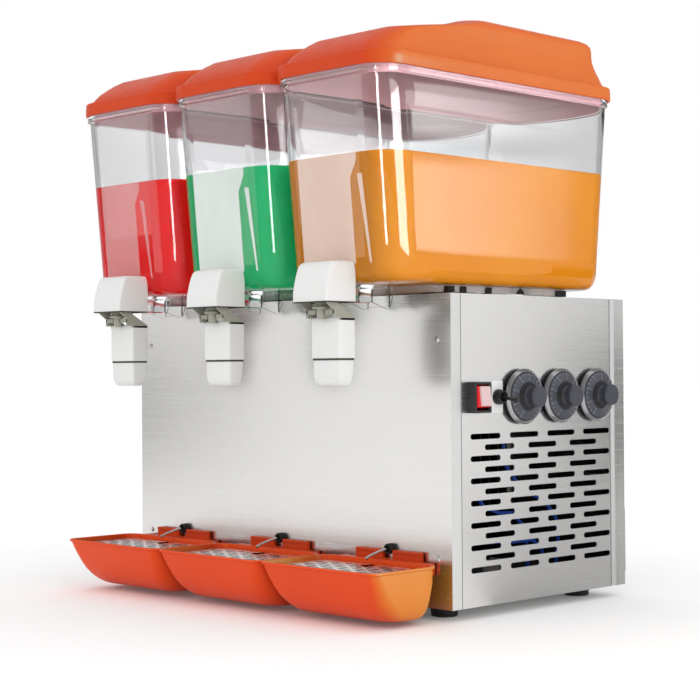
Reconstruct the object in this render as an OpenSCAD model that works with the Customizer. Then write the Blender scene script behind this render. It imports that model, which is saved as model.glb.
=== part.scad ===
// Counter-top chilled drink dispenser with three clear tanks, three taps and three drip trays.
// Frame: +Z up, +X to the right, the taps face -Y. The origin is on the counter, midway between
// the four feet. All sizes are in millimetres.

/* [Cabinet] */
// Width of the steel cabinet
cabinet_w = 610; // [600:1:620]
// Depth of the steel cabinet
cabinet_d = 346; // [340:1:352]
// Height of the cabinet top above the counter
cabinet_top = 398; // [390:1:404]
// Thickness of the sheet steel
sheet = 1.5; // [1:0.1:2]
// Height of the rubber feet
foot_h = 15; // [10:1:20]

/* [Tanks] */
// Distance between neighbouring tank centres
tank_pitch = 203.3; // [203:0.1:206]
// Height of the tank floor above the cabinet top
tank_gap = 12; // [11:0.5:14]
// Height of a tank from its floor to its rim
tank_h = 255; // [250:1:270]
// Wall thickness of the clear tanks
tank_wall = 3; // [2.5:0.1:3.5]
// Height of the drink above the tank floor
drink_h = 155; // [145:1:200]

/* [Drip trays] */
// Height of the tray rim above the counter
tray_rim_z = 71; // [68:1:74]
// How far a tray reaches out in front of the cabinet
tray_reach = 134; // [130:1:138]

/* [Controls] */
// Diameter of the temperature dials
dial_d = 69; // [64:1:72]
// Swing of a tap lever, in degrees
lever_swing = 18; // [12:1:18]

/* [Hidden] */
$fn = 48;
hull_fn = 24;
fit = 0.05;
gap = 0.3;

steel_colour = [0.72, 0.72, 0.70];
shell_colour = [0.86, 0.30, 0.16];
clear_colour = [0.90, 0.93, 0.95, 0.35];
white_colour = [0.93, 0.93, 0.91];
black_colour = [0.08, 0.08, 0.09];
drink_colours = [[0.80, 0.08, 0.08], [0.10, 0.62, 0.38], [0.94, 0.55, 0.10]];

side_x = cabinet_w / 2;
front_y = -cabinet_d / 2;
rear_y = cabinet_d / 2;
wrap = 17;

tank_floor = cabinet_top + tank_gap;
tank_rim = tank_floor + tank_h;
flange_h = 8;
drink_top = tank_floor + drink_h;
corner_r = 38;

tank_front = front_y - 90;
tank_back = front_y + 320;
wall_lean = 21;
wall_spread = 2.5;
rim_front = tank_front - 24;
rim_back = tank_back + 24;
rim_half_w = 100.5;
lid_front = rim_front - 3;
lid_back = rim_back + 6;
lid_half_w = 101.2;
band_h = 18;

evap_y = front_y + 165;
evap_r = 62;
evap_top = cabinet_top + 120;
evap_flange_h = 3;
seal_h = tank_gap - evap_flange_h;
pin_r = 3;
floor_hole_r = evap_r + 4;

tap_plane = front_y - 6;
tap_y = tap_plane - 112;
tap_bottom = tank_floor - 23;
hinge_y = tap_plane - 124;
hinge_z = tap_bottom + 5;
bore_r = 8;
spring_top = tap_bottom + 39;

grate_z = tray_rim_z - 6;

dial_y = [for (i = [0:2]) front_y + 130 + 74.3 * i];
control_z = 271;
fan_x = 40;
fan_y = 20;
fan_z = 165;

function tank_x(i) = (i - 2) * tank_pitch;

// ---------- shared shapes ----------

// Outline of a rectangle from (x0, y0) to (x1, y1), with rounded corners
module rounded_outline(x0, y0, x1, y1, r) {
    difference() {
        translate([x0, y0]) square([x1 - x0, y1 - y0]);
        for (cx = [[x0, x0 + r, -1], [x1, x1 - r, 1]])
            for (cy = [[y0, y0 + r, -1], [y1, y1 - r, 1]])
                difference() {
                    translate([min(cx[0], cx[1]) - (cx[2] < 0 ? 1 : 0),
                               min(cy[0], cy[1]) - (cy[2] < 0 ? 1 : 0)])
                        square(r + 1);
                    translate([cx[1], cy[1]]) circle(r);
                }
    }
}

// Flat ring between two rounded outlines, inset by t
module rounded_ring(x0, y0, x1, y1, r, t) {
    difference() {
        rounded_outline(x0, y0, x1, y1, r);
        rounded_outline(x0 + t, y0 + t, x1 - t, y1 - t, max(r - t, 1));
    }
}

// Corner posts of one level of a moulded shape, used inside hull()
module level(z, hw, y0, y1, r_front, r_back, h = 0.2) {
    for (s = [-1, 1]) {
        translate([s * (hw - r_front), y0 + r_front, z]) cylinder(r = r_front, h = h, $fn = hull_fn);
        translate([s * (hw - r_back), y1 - r_back, z]) cylinder(r = r_back, h = h, $fn = hull_fn);
    }
}

// Extrudes a side profile, given as (y, z) points, across the width w about x = 0
module across(w) {
    rotate([90, 0, 90]) translate([0, 0, -w / 2]) linear_extrude(w) children();
}

module x_cylinder(r, x0, x1, y, z) {
    translate([x0, y, z]) rotate([0, 90, 0]) cylinder(r = r, h = x1 - x0);
}

module y_cylinder(r, y0, y1, x, z) {
    translate([x, y1, z]) rotate([90, 0, 0]) cylinder(r = r, h = y1 - y0);
}

// ---------- cabinet ----------

module base_pan() {
    inner_x = side_x - sheet - gap;
    inner_y = cabinet_d - 2 * (sheet + gap);
    color(steel_colour)
    translate([-inner_x, front_y + sheet + gap, foot_h])
    difference() {
        cube([2 * inner_x, inner_y, 24]);
        translate([sheet, sheet, sheet]) cube([2 * (inner_x - sheet), inner_y - 2 * sheet, 30]);
        for (i = [0:7])
            translate([60 + 62 * i, 60, -1]) cube([34, 8, 5]);
    }
}

// A sheet of the given width across X that wraps round both sides by the depth of its returns
module wrapped_sheet(returns) {
    h = cabinet_top - foot_h;
    translate([-side_x, 0, foot_h])
    difference() {
        cube([cabinet_w, returns, h]);
        translate([sheet, sheet, -1]) cube([cabinet_w - 2 * sheet, returns, h + 2]);
    }
}

screw_x = side_x - 23;
front_screw_z = [76, 342];
rear_screw_z = [150, 342];
screw_r = 2;

module screw_holes(y, heights) {
    for (x = [-screw_x, screw_x])
        for (z = heights)
            y_cylinder(screw_r + 0.1, y - 5, y + 5, x, z);
}

spout_z = 83;
spout_r = 4;
peg_x = 66;
peg_z = 63;
peg_r = 5;

module front_panel() {
    color(steel_colour)
    difference() {
        translate([0, front_y, 0]) wrapped_sheet(wrap);
        screw_holes(front_y, front_screw_z);
        for (i = [1:3]) {
            y_cylinder(spout_r, front_y - 5, front_y + 5, tank_x(i), spout_z);
            for (s = [-1, 1])
                y_cylinder(3, front_y - 5, front_y + 5, tank_x(i) + s * peg_x, peg_z);
        }
    }
}

module rear_panel() {
    color(steel_colour)
    difference() {
        translate([0, rear_y, 0]) mirror([0, 1, 0]) wrapped_sheet(15);
        screw_holes(rear_y, rear_screw_z);
        y_cylinder(8, rear_y - 5, rear_y + 5, -220, 60);
        for (i = [0:8])
            translate([-180 + 50 * i, rear_y - 5, 40]) cube([30, 10, 60]);
    }
}

// Raised louvred guard low on the rear panel
module rear_grille() {
    color(steel_colour)
    difference() {
        translate([-200, rear_y, 25])
            rotate([90, 0, 90])
            linear_extrude(500)
            polygon([[0, 0], [4, 0], [8, 8], [8, 90], [0, 90]]);
        translate([-198, rear_y - 1, 27]) cube([496, 7.5, 86]);
        for (i = [0:8])
            for (k = [0:4])
                translate([-180 + 50 * i, rear_y, 38 + 15 * k]) cube([30, 20, 6]);
    }
}

vent_rows = 13;
vent_pitch = 13.6;
vent_top = 223;
vent_l = 56;
vent_w = 7;

// One oblong vent slot with round ends, cut along X
module vent_slot(y, z) {
    r = vent_w / 2;
    straight = vent_l - vent_w;
    translate([0, y + r, z - r]) cube([20, straight, vent_w]);
    x_cylinder(r, 0, 20, y + r, z);
    x_cylinder(r, 0, 20, y + r + straight, z);
}

// Side sheet in the positive X position, with staggered rows of vents
module side_sheet() {
    y0 = front_y + wrap + gap;
    y1 = rear_y - 15 - gap;
    difference() {
        translate([side_x - sheet, y0, foot_h]) cube([sheet, y1 - y0, cabinet_top - foot_h]);
        translate([side_x - 10, 0, 0])
        for (row = [0:vent_rows - 1]) {
            odd = row % 2;
            count = odd == 0 ? 4 : 3;
            first = odd == 0 ? 34.6 : 61.2;
            step = odd == 0 ? 74.1 : 83.6;
            for (k = [0:count - 1])
                vent_slot(front_y + first + step * k, vent_top - vent_pitch * row);
        }
    }
}

rocker_y = front_y + 44.5;
rocker_w = 31;
rocker_h = 38;
toggle_y = front_y + 84;

module right_side_panel() {
    color(steel_colour)
    difference() {
        side_sheet();
        for (y = dial_y)
            x_cylinder(5, side_x - 5, side_x + 5, y, control_z);
        translate([side_x - 5, rocker_y - 13, control_z - 16]) cube([10, 26, 32]);
        x_cylinder(4.2, side_x - 5, side_x + 5, toggle_y, control_z);
    }
}

module left_side_panel() {
    color(steel_colour) mirror([1, 0, 0]) side_sheet();
}

module top_plate() {
    inset = sheet + gap;
    color(steel_colour)
    difference() {
        translate([-side_x + inset, front_y + inset, cabinet_top - 2])
            cube([cabinet_w - 2 * inset, cabinet_d - 2 * inset, 2]);
        for (i = [1:3])
            translate([tank_x(i), evap_y, cabinet_top - 5]) cylinder(r = 36, h = 10);
    }
}

module feet() {
    color(black_colour)
    for (x = [-254, 254])
        for (y = [front_y + 41, rear_y - 41])
            translate([x, y, 0]) cylinder(r1 = 16.5, r2 = 18.5, h = foot_h);
}

// One pan-head screw, head towards -Y, with its head resting on the plane y = 0
module pan_screw() {
    translate([0, 7, 0]) rotate([90, 0, 0]) cylinder(r = screw_r, h = 7);
    difference() {
        rotate([90, 0, 0]) cylinder(r1 = 4, r2 = 3, h = 2);
        translate([-0.5, -3, -2.2]) cube([1, 2, 4.4]);
        translate([-2.2, -3, -0.5]) cube([4.4, 2, 1]);
    }
}

module panel_screws() {
    color(steel_colour)
    for (x = [-screw_x, screw_x]) {
        for (z = front_screw_z)
            translate([x, front_y, z]) pan_screw();
        for (z = rear_screw_z)
            translate([x, rear_y, z]) rotate([0, 0, 180]) pan_screw();
    }
}

module power_inlet() {
    color(black_colour)
    difference() {
        union() {
            y_cylinder(7.8, rear_y - 12, rear_y, -220, 60);
            y_cylinder(12, rear_y, rear_y + 5, -220, 60);
            y_cylinder(9, rear_y + 5, rear_y + 8, -220, 60);
            y_cylinder(12, rear_y - sheet - 6, rear_y - sheet, -220, 60);
        }
        y_cylinder(4, rear_y - 20, rear_y + 20, -220, 60);
    }
}

// ---------- cooling and drives ----------

// Hollow steel dome that stands up into a tank and chills the drink round it
module evaporator(i) {
    color(steel_colour)
    translate([tank_x(i), evap_y, cabinet_top])
    rotate_extrude()
    polygon([
        [0, evap_top - cabinet_top - 2], [evap_r - 14, evap_top - cabinet_top - 4],
        [evap_r - 4, evap_top - cabinet_top - 12], [evap_r - 2, evap_top - cabinet_top - 20],
        [evap_r - 2, 0], [evap_r + 14, 0], [evap_r + 14, evap_flange_h],
        [evap_r, evap_flange_h], [evap_r, evap_top - cabinet_top - 18],
        [evap_r - 3, evap_top - cabinet_top - 8], [evap_r - 12, evap_top - cabinet_top - 1],
        [pin_r + 5, evap_top - cabinet_top], [pin_r, evap_top - cabinet_top],
        [pin_r, evap_top - cabinet_top + 14], [0, evap_top - cabinet_top + 14]
    ]);
}

module evaporator_seals() {
    color(black_colour)
    for (i = [1:3])
        translate([tank_x(i), evap_y, cabinet_top + evap_flange_h])
        difference() {
            cylinder(r = evap_r + 12, h = seal_h);
            translate([0, 0, -1]) cylinder(r = evap_r + 0.5, h = seal_h + 2);
        }
}

module impeller(i) {
    hub_z = evap_top + 2;
    color(white_colour)
    translate([tank_x(i), evap_y, hub_z])
    difference() {
        union() {
            cylinder(r = 9, h = 14);
            for (a = [0:60:300])
                rotate([0, 0, a]) translate([7, -1.25, 1]) cube([38, 2.5, 10]);
            difference() {
                cylinder(r = 46, h = 2);
                translate([0, 0, -1]) cylinder(r = 40, h = 4);
            }
        }
        translate([0, 0, -1]) cylinder(r = pin_r + fit, h = 20);
    }
}

module pump_motors() {
    color([0.35, 0.36, 0.38])
    for (i = [1:3])
        translate([tank_x(i), evap_y, cabinet_top - 70]) {
            cylinder(r = 30, h = 68);
            translate([-40, -8, 62]) cube([80, 16, 6]);
            translate([0, 0, 68]) cylinder(r = 22, h = 20);
        }
}

module compressor() {
    color([0.12, 0.12, 0.13])
    translate([-190, 10, foot_h + sheet]) {
        for (a = [45:90:315])
            rotate([0, 0, a]) translate([78, 0, 0]) cylinder(r = 12, h = 12);
        translate([-80, -80, 12]) cube([160, 160, 4]);
        translate([0, 0, 16])
        rotate_extrude()
        polygon([[0, 0], [60, 0], [72, 14], [74, 30], [74, 105], [66, 130], [44, 146], [0, 152]]);
        translate([50, 0, 100]) rotate([0, 90, 0]) cylinder(r = 5, h = 50);
        translate([-10, 60, 60]) cube([40, 34, 50]);
    }
}

condenser_x = 90;
condenser_t = 44;
condenser_z0 = 42;
condenser_h = 226;
condenser_l = 224;

module condenser() {
    tube_r = 4.5;
    rows = 6;
    row_pitch = 36;
    x0 = condenser_x;
    y0 = fan_y - condenser_l / 2;
    color([0.66, 0.42, 0.26]) {
        for (k = [0:rows - 1]) {
            z = condenser_z0 + 24 + row_pitch * k;
            y_cylinder(tube_r, y0 - 12, y0 + condenser_l + 12, x0 + condenser_t / 2, z);
        }
        for (k = [0:rows - 2]) {
            z = condenser_z0 + 24 + row_pitch * (k + 0.5);
            back = k % 2 == 0;
            translate([x0 + condenser_t / 2, back ? y0 + condenser_l + 12 : y0 - 12, z])
                rotate([0, 90, 0])
                rotate([0, 0, back ? 0 : 180])
                rotate_extrude(angle = 180)
                translate([row_pitch / 2, 0]) circle(tube_r, $fn = 24);
        }
    }
    color([0.75, 0.76, 0.78])
    for (k = [0:12])
        translate([x0, y0 + k * (condenser_l - 2) / 12, condenser_z0]) cube([condenser_t, 2, condenser_h]);
}

fan_r = 92;
fan_hub_x = fan_x + 6;

module fan_shroud() {
    color([0.30, 0.31, 0.33]) {
        difference() {
            translate([fan_x + 36, fan_y - 118, foot_h + sheet]) cube([6, 236, 252]);
            x_cylinder(fan_r + 6, fan_x, fan_x + 60, fan_y, fan_z);
        }
        x_cylinder(26, fan_x - 50, fan_x, fan_y, fan_z);
        x_cylinder(pin_r, fan_x, fan_x + 30, fan_y, fan_z);
        for (s = [-1, 1])
            translate([fan_x - 30, fan_y + s * 100 - 4, fan_z - 8]) cube([66, 8, 16]);
        difference() {
            translate([fan_x - 30, fan_y - 104, fan_z - 8]) cube([8, 208, 16]);
            x_cylinder(20, fan_x - 40, fan_x, fan_y, fan_z);
        }
    }
}

module fan_blade() {
    color([0.20, 0.21, 0.22])
    difference() {
        union() {
            x_cylinder(22, fan_hub_x, fan_hub_x + 20, fan_y, fan_z);
            for (a = [0:72:288])
                translate([fan_hub_x + 10, fan_y, fan_z])
                    rotate([a, 0, 0])
                    translate([0, 0, 18])
                    rotate([0, 0, 32])
                    translate([-1, -24, 0]) cube([2, 48, fan_r - 22]);
        }
        x_cylinder(pin_r + fit, fan_x - 10, fan_x + 80, fan_y, fan_z);
    }
}

module thermostats() {
    inner_x = side_x - sheet;
    color([0.80, 0.78, 0.70])
    for (y = dial_y)
        difference() {
            union() {
                translate([inner_x - 36, y - 22, control_z - 18]) cube([28, 44, 36]);
                x_cylinder(7, inner_x - 8, inner_x, y, control_z);
            }
            x_cylinder(pin_r + fit, inner_x - 30, inner_x + 10, y, control_z);
        }
}

// Temperature dial: skirted disc with a scale, a waisted grip and its spindle
module dial(i) {
    y = dial_y[i - 1];
    r = dial_d / 2;
    color(black_colour)
    translate([side_x, y, control_z])
    rotate([0, 90, 0]) {
        rotate_extrude()
        polygon([
            [0, 2], [r - 3, 2], [r, 5], [r, 8], [r - 5, 12], [19, 12], [15, 14], [11, 18],
            [11, 23], [13.5, 27], [13.5, 31], [12.5, 32], [0, 32]
        ]);
        translate([0, 0, -18]) cylinder(r = pin_r, h = 21);
    }
}

module rocker_housing() {
    color(black_colour)
    difference() {
        union() {
            translate([side_x, rocker_y - rocker_w / 2, control_z - rocker_h / 2])
                cube([13, rocker_w, rocker_h]);
            translate([side_x - 24, rocker_y - 12.5, control_z - 15.5]) cube([24, 25, 31]);
        }
        translate([side_x - 12, rocker_y - 11.4, control_z - 15.4]) cube([30, 22.8, 30.8]);
        y_cylinder(1.5 + fit, rocker_y - 13.5, rocker_y + 13.5, side_x + 3, control_z);
    }
}

rocker_tilt = 7;

// Lit rocker, shown with its upper half pressed in
module power_rocker() {
    color([0.80, 0.10, 0.10])
    translate([side_x + 3, rocker_y, control_z])
    rotate([0, -rocker_tilt, 0]) {
        translate([-2, -11, -13]) cube([17, 22, 26]);
        y_cylinder(1.5, -13, 13, 0, 0);
    }
}

module toggle_housing() {
    color(black_colour)
    difference() {
        union() {
            x_cylinder(9.5, side_x + 1.5, side_x + 6, toggle_y, control_z);
            x_cylinder(8, side_x + 6, side_x + 12, toggle_y, control_z);
            x_cylinder(4, side_x - 6, side_x + 2, toggle_y, control_z);
            translate([side_x - 22, toggle_y - 7, control_z - 12]) cube([16, 14, 24]);
            translate([side_x, toggle_y - 10.5, control_z - 20]) cube([1.5, 21, 40]);
        }
        translate([side_x + 7, toggle_y, control_z])
            rotate([0, 90, 0])
            cylinder(r1 = 4.5, r2 = 6.5, h = 10);
    }
}

toggle_tilt = 10;

module pump_toggle() {
    color(black_colour)
    translate([side_x + 9.5, toggle_y, control_z])
    rotate([0, toggle_tilt, 0]) {
        x_cylinder(2.2, 0, 18, 0, 0);
        x_cylinder(3, 18, 25, 0, 0);
        y_cylinder(2.4, -2.2, 2.2, 0, 0);
    }
}

// ---------- wiring inside the right side ----------

wire_r = 2.5;
wire_routes = [
    [[276, -124, 264], [272, -126, 240], [268, -120, 200], [266, -100, 160], [268, -70, 130],
     [266, -40, 122], [262, -10, 120], [256, 20, 100], [252, 32, 72], [250, 34, 42]],
    [[276, -134, 264], [275, -138, 236], [276, -138, 180], [274, -128, 120], [270, -100, 92],
     [268, -60, 86], [270, -20, 84], [270, 20, 84], [266, 44, 70], [262, 50, 42]],
    [[279, -48, 252], [274, -44, 220], [270, -30, 180], [270, 0, 150], [274, 40, 134],
     [272, 66, 110], [268, 76, 84], [262, 80, 62], [260, 80, 42]]
];

function unit(v) = v / norm(v);

// Rings of an eight-sided tube round a route of points
function tube_points(route, r) = [
    for (k = [0:len(route) - 1])
        let (ahead = route[min(k + 1, len(route) - 1)])
        let (behind = route[max(k - 1, 0)])
        let (run = unit(ahead - behind))
        let (side = unit(cross(run, [1, 0.2, 0.1])))
        let (rise = cross(run, side))
        for (a = [0:45:315]) route[k] + r * (cos(a) * side + sin(a) * rise)
];

function tube_faces(rings) = concat(
    [[for (a = [0:7]) a]],
    [for (k = [0:rings - 2]) for (a = [0:7])
        let (b = (a + 1) % 8)
        [8 * k + b, 8 * k + a, 8 * k + 8 + a, 8 * k + 8 + b]],
    [[for (a = [7:-1:0]) 8 * (rings - 1) + a]]
);

// Three wires that run down from the switches to a terminal block on the base pan
module wiring_loom() {
    colours = [[0.12, 0.30, 0.75], [0.90, 0.72, 0.10], [0.12, 0.30, 0.75]];
    for (k = [0:2])
        color(colours[k])
        polyhedron(tube_points(wire_routes[k], wire_r), tube_faces(len(wire_routes[k])));
    color(white_colour)
    translate([242, 24, foot_h + sheet]) cube([30, 66, 28]);
}

// ---------- tanks ----------

// Moulded body of a tank, drawn in by the inset t, from z0 up to z1
module tank_form(t, z0, z1) {
    r = corner_r - t;
    lean = wall_lean * (z1 - tank_floor) / tank_h;
    spread = wall_spread * (z1 - tank_floor) / tank_h;
    hull() {
        level(z0, 83 - t, tank_front + 14 + t, tank_back - 14 - t, r - 10, r - 10);
        level(z0 + 6, 92 - t, tank_front + 5 + t, tank_back - 5 - t, r - 4, r - 4);
        level(z0 + 20, 96 - t, tank_front + t, tank_back - t, r, r);
        level(z1, 96 + spread - t, tank_front - lean + t, tank_back + lean - t, r, r);
    }
}

module tank(i) {
    outlet_z = tap_bottom + 7;
    color(clear_colour)
    translate([tank_x(i), 0, 0])
    difference() {
        union() {
            tank_form(0, tank_floor, tank_rim - 0.2);
            translate([0, 0, tank_rim - flange_h])
                linear_extrude(flange_h)
                rounded_outline(-rim_half_w, rim_front, rim_half_w, rim_back, corner_r + 2);
            translate([-22, tap_plane - 82, tank_floor - 24]) cube([44, 36, 29]);
        }
        tank_form(tank_wall, tank_floor + tank_wall, tank_rim + 1);
        translate([0, evap_y, tank_floor - 1]) cylinder(r = floor_hole_r, h = 10);
        translate([0, tap_plane - 60, outlet_z]) cylinder(r = 6, h = 40);
        y_cylinder(4, tap_plane - 90, tap_plane - 60, 0, outlet_z);
    }
}

module drink(i) {
    margin = tank_wall + gap;
    color(drink_colours[i - 1])
    translate([tank_x(i), 0, 0])
    difference() {
        tank_form(margin, tank_floor + margin, tank_rim);
        translate([-150, front_y - 200, drink_top]) cube([300, 600, 200]);
        translate([0, evap_y, tank_floor - 1])
            cylinder(r = floor_hole_r, h = evap_top + 20 - tank_floor);
    }
}

// Domed part of the lid, drawn in by the wall thickness t
module lid_form(t) {
    z = tank_rim + band_h - (t > 0 ? 1 : 0);
    hull() {
        level(z, 93 - t, lid_front + 8 + t, lid_back - 8 - t, 34 - t, 34 - t);
        level(z + 7 - t, 90 - t, lid_front + 13 + t, lid_back - 11 - t, 32 - t, 32 - t);
        level(z + 34 - t, 80 - t, lid_front + 52 + t, lid_back - 24 - t, 28 - t, 28 - t);
        level(z + 56 - t, 84 - t, lid_front + 193 + t, lid_back - 30 - t, 20 - t, 20 - t);
        level(z + 67 - t, 46 - t, lid_front + 201 + t, lid_back - 42 - t, 28 - t, 28 - t);
    }
}

// Outline of the lid's band, drawn in by the inset t
module band_outline(t) {
    rounded_outline(-lid_half_w + t, lid_front + t, lid_half_w - t, lid_back - t, corner_r + 2 - t);
}

module lid(i) {
    wall = 3;
    lip_w = 93.5;
    color(shell_colour)
    translate([tank_x(i), 0, 0]) {
        difference() {
            union() {
                translate([0, 0, tank_rim]) linear_extrude(band_h) band_outline(0);
                lid_form(0);
            }
            translate([0, 0, tank_rim - 1]) linear_extrude(16) band_outline(wall);
            lid_form(wall);
            translate([0, 0, tank_rim + 10]) linear_extrude(9) band_outline(11);
        }
        // split lip that drops inside the tank
        translate([0, 0, tank_rim - 8])
            linear_extrude(24)
            difference() {
                rounded_ring(-lip_w, rim_front + 11, lip_w, rim_back - 9, corner_r - 6, 2.5);
                translate([-20, lid_front]) square([40, lid_back - lid_front]);
            }
        // stiffening ring under the band's top
        translate([0, 0, tank_rim + band_h - 4])
            linear_extrude(2)
            difference() {
                band_outline(wall - 0.5);
                rounded_outline(-89, rim_front + 15, 89, rim_back - 14, corner_r - 10);
            }
    }
}

// ---------- taps ----------

cover_w = 60;

module tap_body(i) {
    color(white_colour)
    translate([tank_x(i), 0, 0]) {
        difference() {
            across(cover_w)
            polygon([
                [tap_plane - 85, tap_bottom + 49], [tap_plane - 116, tap_bottom + 46],
                [tap_plane - 124, tap_bottom + 40], [tap_plane - 132, tap_bottom + 14],
                [tap_plane - 132, tap_bottom], [tap_plane - 82.4, tap_bottom],
                [tap_plane - 82.4, tap_bottom + 23]
            ]);
            across(cover_w - 5)
            polygon([
                [tap_plane - 88, tap_bottom + 42], [tap_plane - 115, tap_bottom + 42],
                [tap_plane - 121.5, tap_bottom + 38], [tap_plane - 129.5, tap_bottom + 14],
                [tap_plane - 129.5, tap_bottom - 1], [tap_plane - 86, tap_bottom - 1]
            ]);
            y_cylinder(4, tap_plane - 100, tap_plane - 60, 0, tap_bottom + 7);
        }
        difference() {
            translate([-12, tap_plane - 122, tap_bottom + 1]) cube([24, 37, 20]);
            translate([0, tap_y, tap_bottom - 1]) cylinder(r = bore_r, h = 40);
            y_cylinder(4, tap_plane - 113, tap_plane - 60, 0, tap_bottom + 7);
        }
        difference() {
            y_cylinder(4 - fit, tap_plane - 88, tap_plane - 76, 0, tap_bottom + 7);
            y_cylinder(2.5, tap_plane - 90, tap_plane - 70, 0, tap_bottom + 7);
        }
        x_cylinder(2.5, -28, 28, hinge_y, hinge_z);
    }
}

// Hinged tap lever: a channel-shaped paddle hung from two cheeks, with a fork under the plunger
module tap_lever(i) {
    top = tap_bottom - 18;
    bottom = 286;
    groove_z = 319;
    face_y = tap_plane - 106;
    rear = tap_plane - 80;
    half_w = 25;
    color(white_colour)
    translate([tank_x(i), 0, 0])
    difference() {
        union() {
            translate([-half_w, face_y, groove_z - 2]) cube([2 * half_w, 2.5, top - groove_z + 2]);
            for (s = [-1, 1])
                translate([s * (half_w - 1.25), 0, 0]) {
                    across(2.5)
                    polygon([
                        [face_y, groove_z - 2], [rear, groove_z - 2], [rear, top], [tap_plane - 104, top + 14],
                        [tap_plane - 119, hinge_z + 4], [hinge_y, hinge_z + 5], [hinge_y - 5, hinge_z],
                        [hinge_y - 3, hinge_z - 4], [face_y, top]
                    ]);
                    across(2.5)
                    polygon([
                        [face_y + 1.5, groove_z], [face_y + 1.5, bottom + 10], [face_y + 8, bottom],
                        [rear - 6, bottom + 4], [rear - 3, groove_z]
                    ]);
                }
            translate([-half_w + 0.6, face_y + 1.5, bottom + 8])
                cube([2 * half_w - 1.2, 2.5, groove_z - bottom]);
            translate([-half_w, face_y, top - 2.5]) cube([2 * half_w, 20, 2.5]);
            for (s = [-1, 1])
                translate([s * 16.5 - 8.5, tap_y - 2, top + 3.3]) cube([17, 4, 6]);
        }
        x_cylinder(2.5 + fit, -40, 40, hinge_y, hinge_z);
        translate([-bore_r - 1, tap_y - 20, top - 10]) cube([2 * bore_r + 2, 26, 40]);
    }
}

// Sliding valve whose lower end is the spout; lifting it lines its port up with the inlet
module tap_plunger(i) {
    color(white_colour)
    translate([tank_x(i), tap_y, 0])
    difference() {
        union() {
            translate([0, 0, tap_bottom - 20]) cylinder(r = 5.5, h = 14);
            translate([0, 0, tap_bottom - 8]) cylinder(r = 11, h = 3);
            translate([0, 0, tap_bottom - 6]) cylinder(r = bore_r - fit, h = 21);
        }
        translate([0, 0, tap_bottom - 21]) cylinder(r = 3.5, h = 27);
        y_cylinder(2.5, 0, 20, 0, tap_bottom + 2);
    }
}

// Return spring above the plunger, as a helix of six-sided wire
module tap_spring(i) {
    turns = 5;
    steps = 10;
    wire = 0.9;
    coil_r = 5.8;
    z0 = tap_bottom + 15 + wire;
    rise = spring_top - wire - z0;
    count = turns * steps;
    points = [
        for (k = [0:count])
            let (a = 360 * k / steps)
            for (w = [0:60:300])
                [(coil_r + wire * cos(w)) * cos(a), (coil_r + wire * cos(w)) * sin(a),
                 z0 + rise * k / count + wire * sin(w)]
    ];
    faces = concat(
        [[for (w = [0:5]) w]],
        [for (k = [0:count - 1]) for (w = [0:5])
            let (v = (w + 1) % 6)
            [6 * k + v, 6 * k + w, 6 * k + 6 + w, 6 * k + 6 + v]],
        [[for (w = [5:-1:0]) 6 * count + w]]
    );
    color([0.7, 0.7, 0.72])
    translate([tank_x(i), tap_y, 0]) polyhedron(points, faces);
}

// ---------- drip trays ----------

// Boat-shaped tray, drawn in by the wall thickness t
module tray_form(t) {
    y0 = front_y - tray_reach + t;
    y1 = front_y - 20 - t;
    z1 = tray_rim_z + (t > 0 ? 1 : 0);
    hull() {
        level(z1, 99.5 - t, y0, y1, 13 - t, 20 - t);
        level(50, 98.5 - t, y0 + 8, y1, 18 - t, 20 - t);
        level(30, 96 - t, y0 + 18, y1 - 1, 24 - t, 22 - t);
        level(15 + t / 2, 91 - t, y0 + 32, y1 - 3, 28 - t, 22 - t);
        level(7 + t, 83 - t, y0 + 48, y1 - 8, 24 - t, 20 - t);
    }
}

module drip_tray(i) {
    color(shell_colour)
    translate([tank_x(i), 0, 0]) {
        difference() {
            union() {
                tray_form(0);
                translate([0, 0, tray_rim_z - 3])
                    linear_extrude(3)
                    rounded_outline(-101, front_y - tray_reach - 1.5, 101, front_y - 18, 15);
            }
            tray_form(2.5);
            translate([0, 0, tray_rim_z - 3.5])
                linear_extrude(5)
                rounded_outline(-97, front_y - tray_reach + 2, 97, front_y - 22.5, 11);
        }
        for (x = [-58, 58])
            for (y = [front_y - 76, front_y - 42])
                translate([x - 4, y - 3, 8]) cube([8, 6, grate_z - 1.5 - 8]);
        // hanging tab against the front panel, notched for the drain spout
        difference() {
            union() {
                translate([-56.5, front_y - 7, 60]) cube([113, 5, 22]);
                translate([-75, front_y - 19, tray_rim_z - 3]) cube([150, 17, 3]);
                for (s = [-1, 1])
                    translate([s * 66 - 9, front_y - 7, 55]) cube([18, 5, 16]);
            }
            translate([-8, front_y - 10, tray_rim_z]) cube([16, 12, 20]);
            for (s = [-1, 1])
                y_cylinder(peg_r + gap, front_y - 30, front_y + 5, s * peg_x, peg_z);
        }
    }
}

// Perforated steel plate with staggered oblong slots
module tray_grate(i) {
    slot_l = 22;
    slot_w = 4;
    pitch_x = 29;
    pitch_y = 10.5;
    y0 = front_y - tray_reach + 8;
    y1 = front_y - 27;
    color(steel_colour)
    translate([tank_x(i), 0, grate_z - 1.5])
    linear_extrude(1.5)
    difference() {
        rounded_outline(-93, y0, 93, y1, 12);
        // notch that lets the plate lift past the drain spout
        translate([-7, front_y - 52]) square([14, 40]);
        for (row = [0:7])
            for (k = [0:(row % 2 == 0 ? 5 : 4)]) {
                half = row % 2 == 0 ? 2.5 : 2;
                x = (k - half) * pitch_x;
                y = y0 + 10.5 + row * pitch_y;
                translate([x - slot_l / 2 + slot_w / 2, y - slot_w / 2]) square([slot_l - slot_w, slot_w]);
                for (s = [-1, 1])
                    translate([x + s * (slot_l - slot_w) / 2, y]) circle(slot_w / 2, $fn = 24);
            }
    }
}

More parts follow.
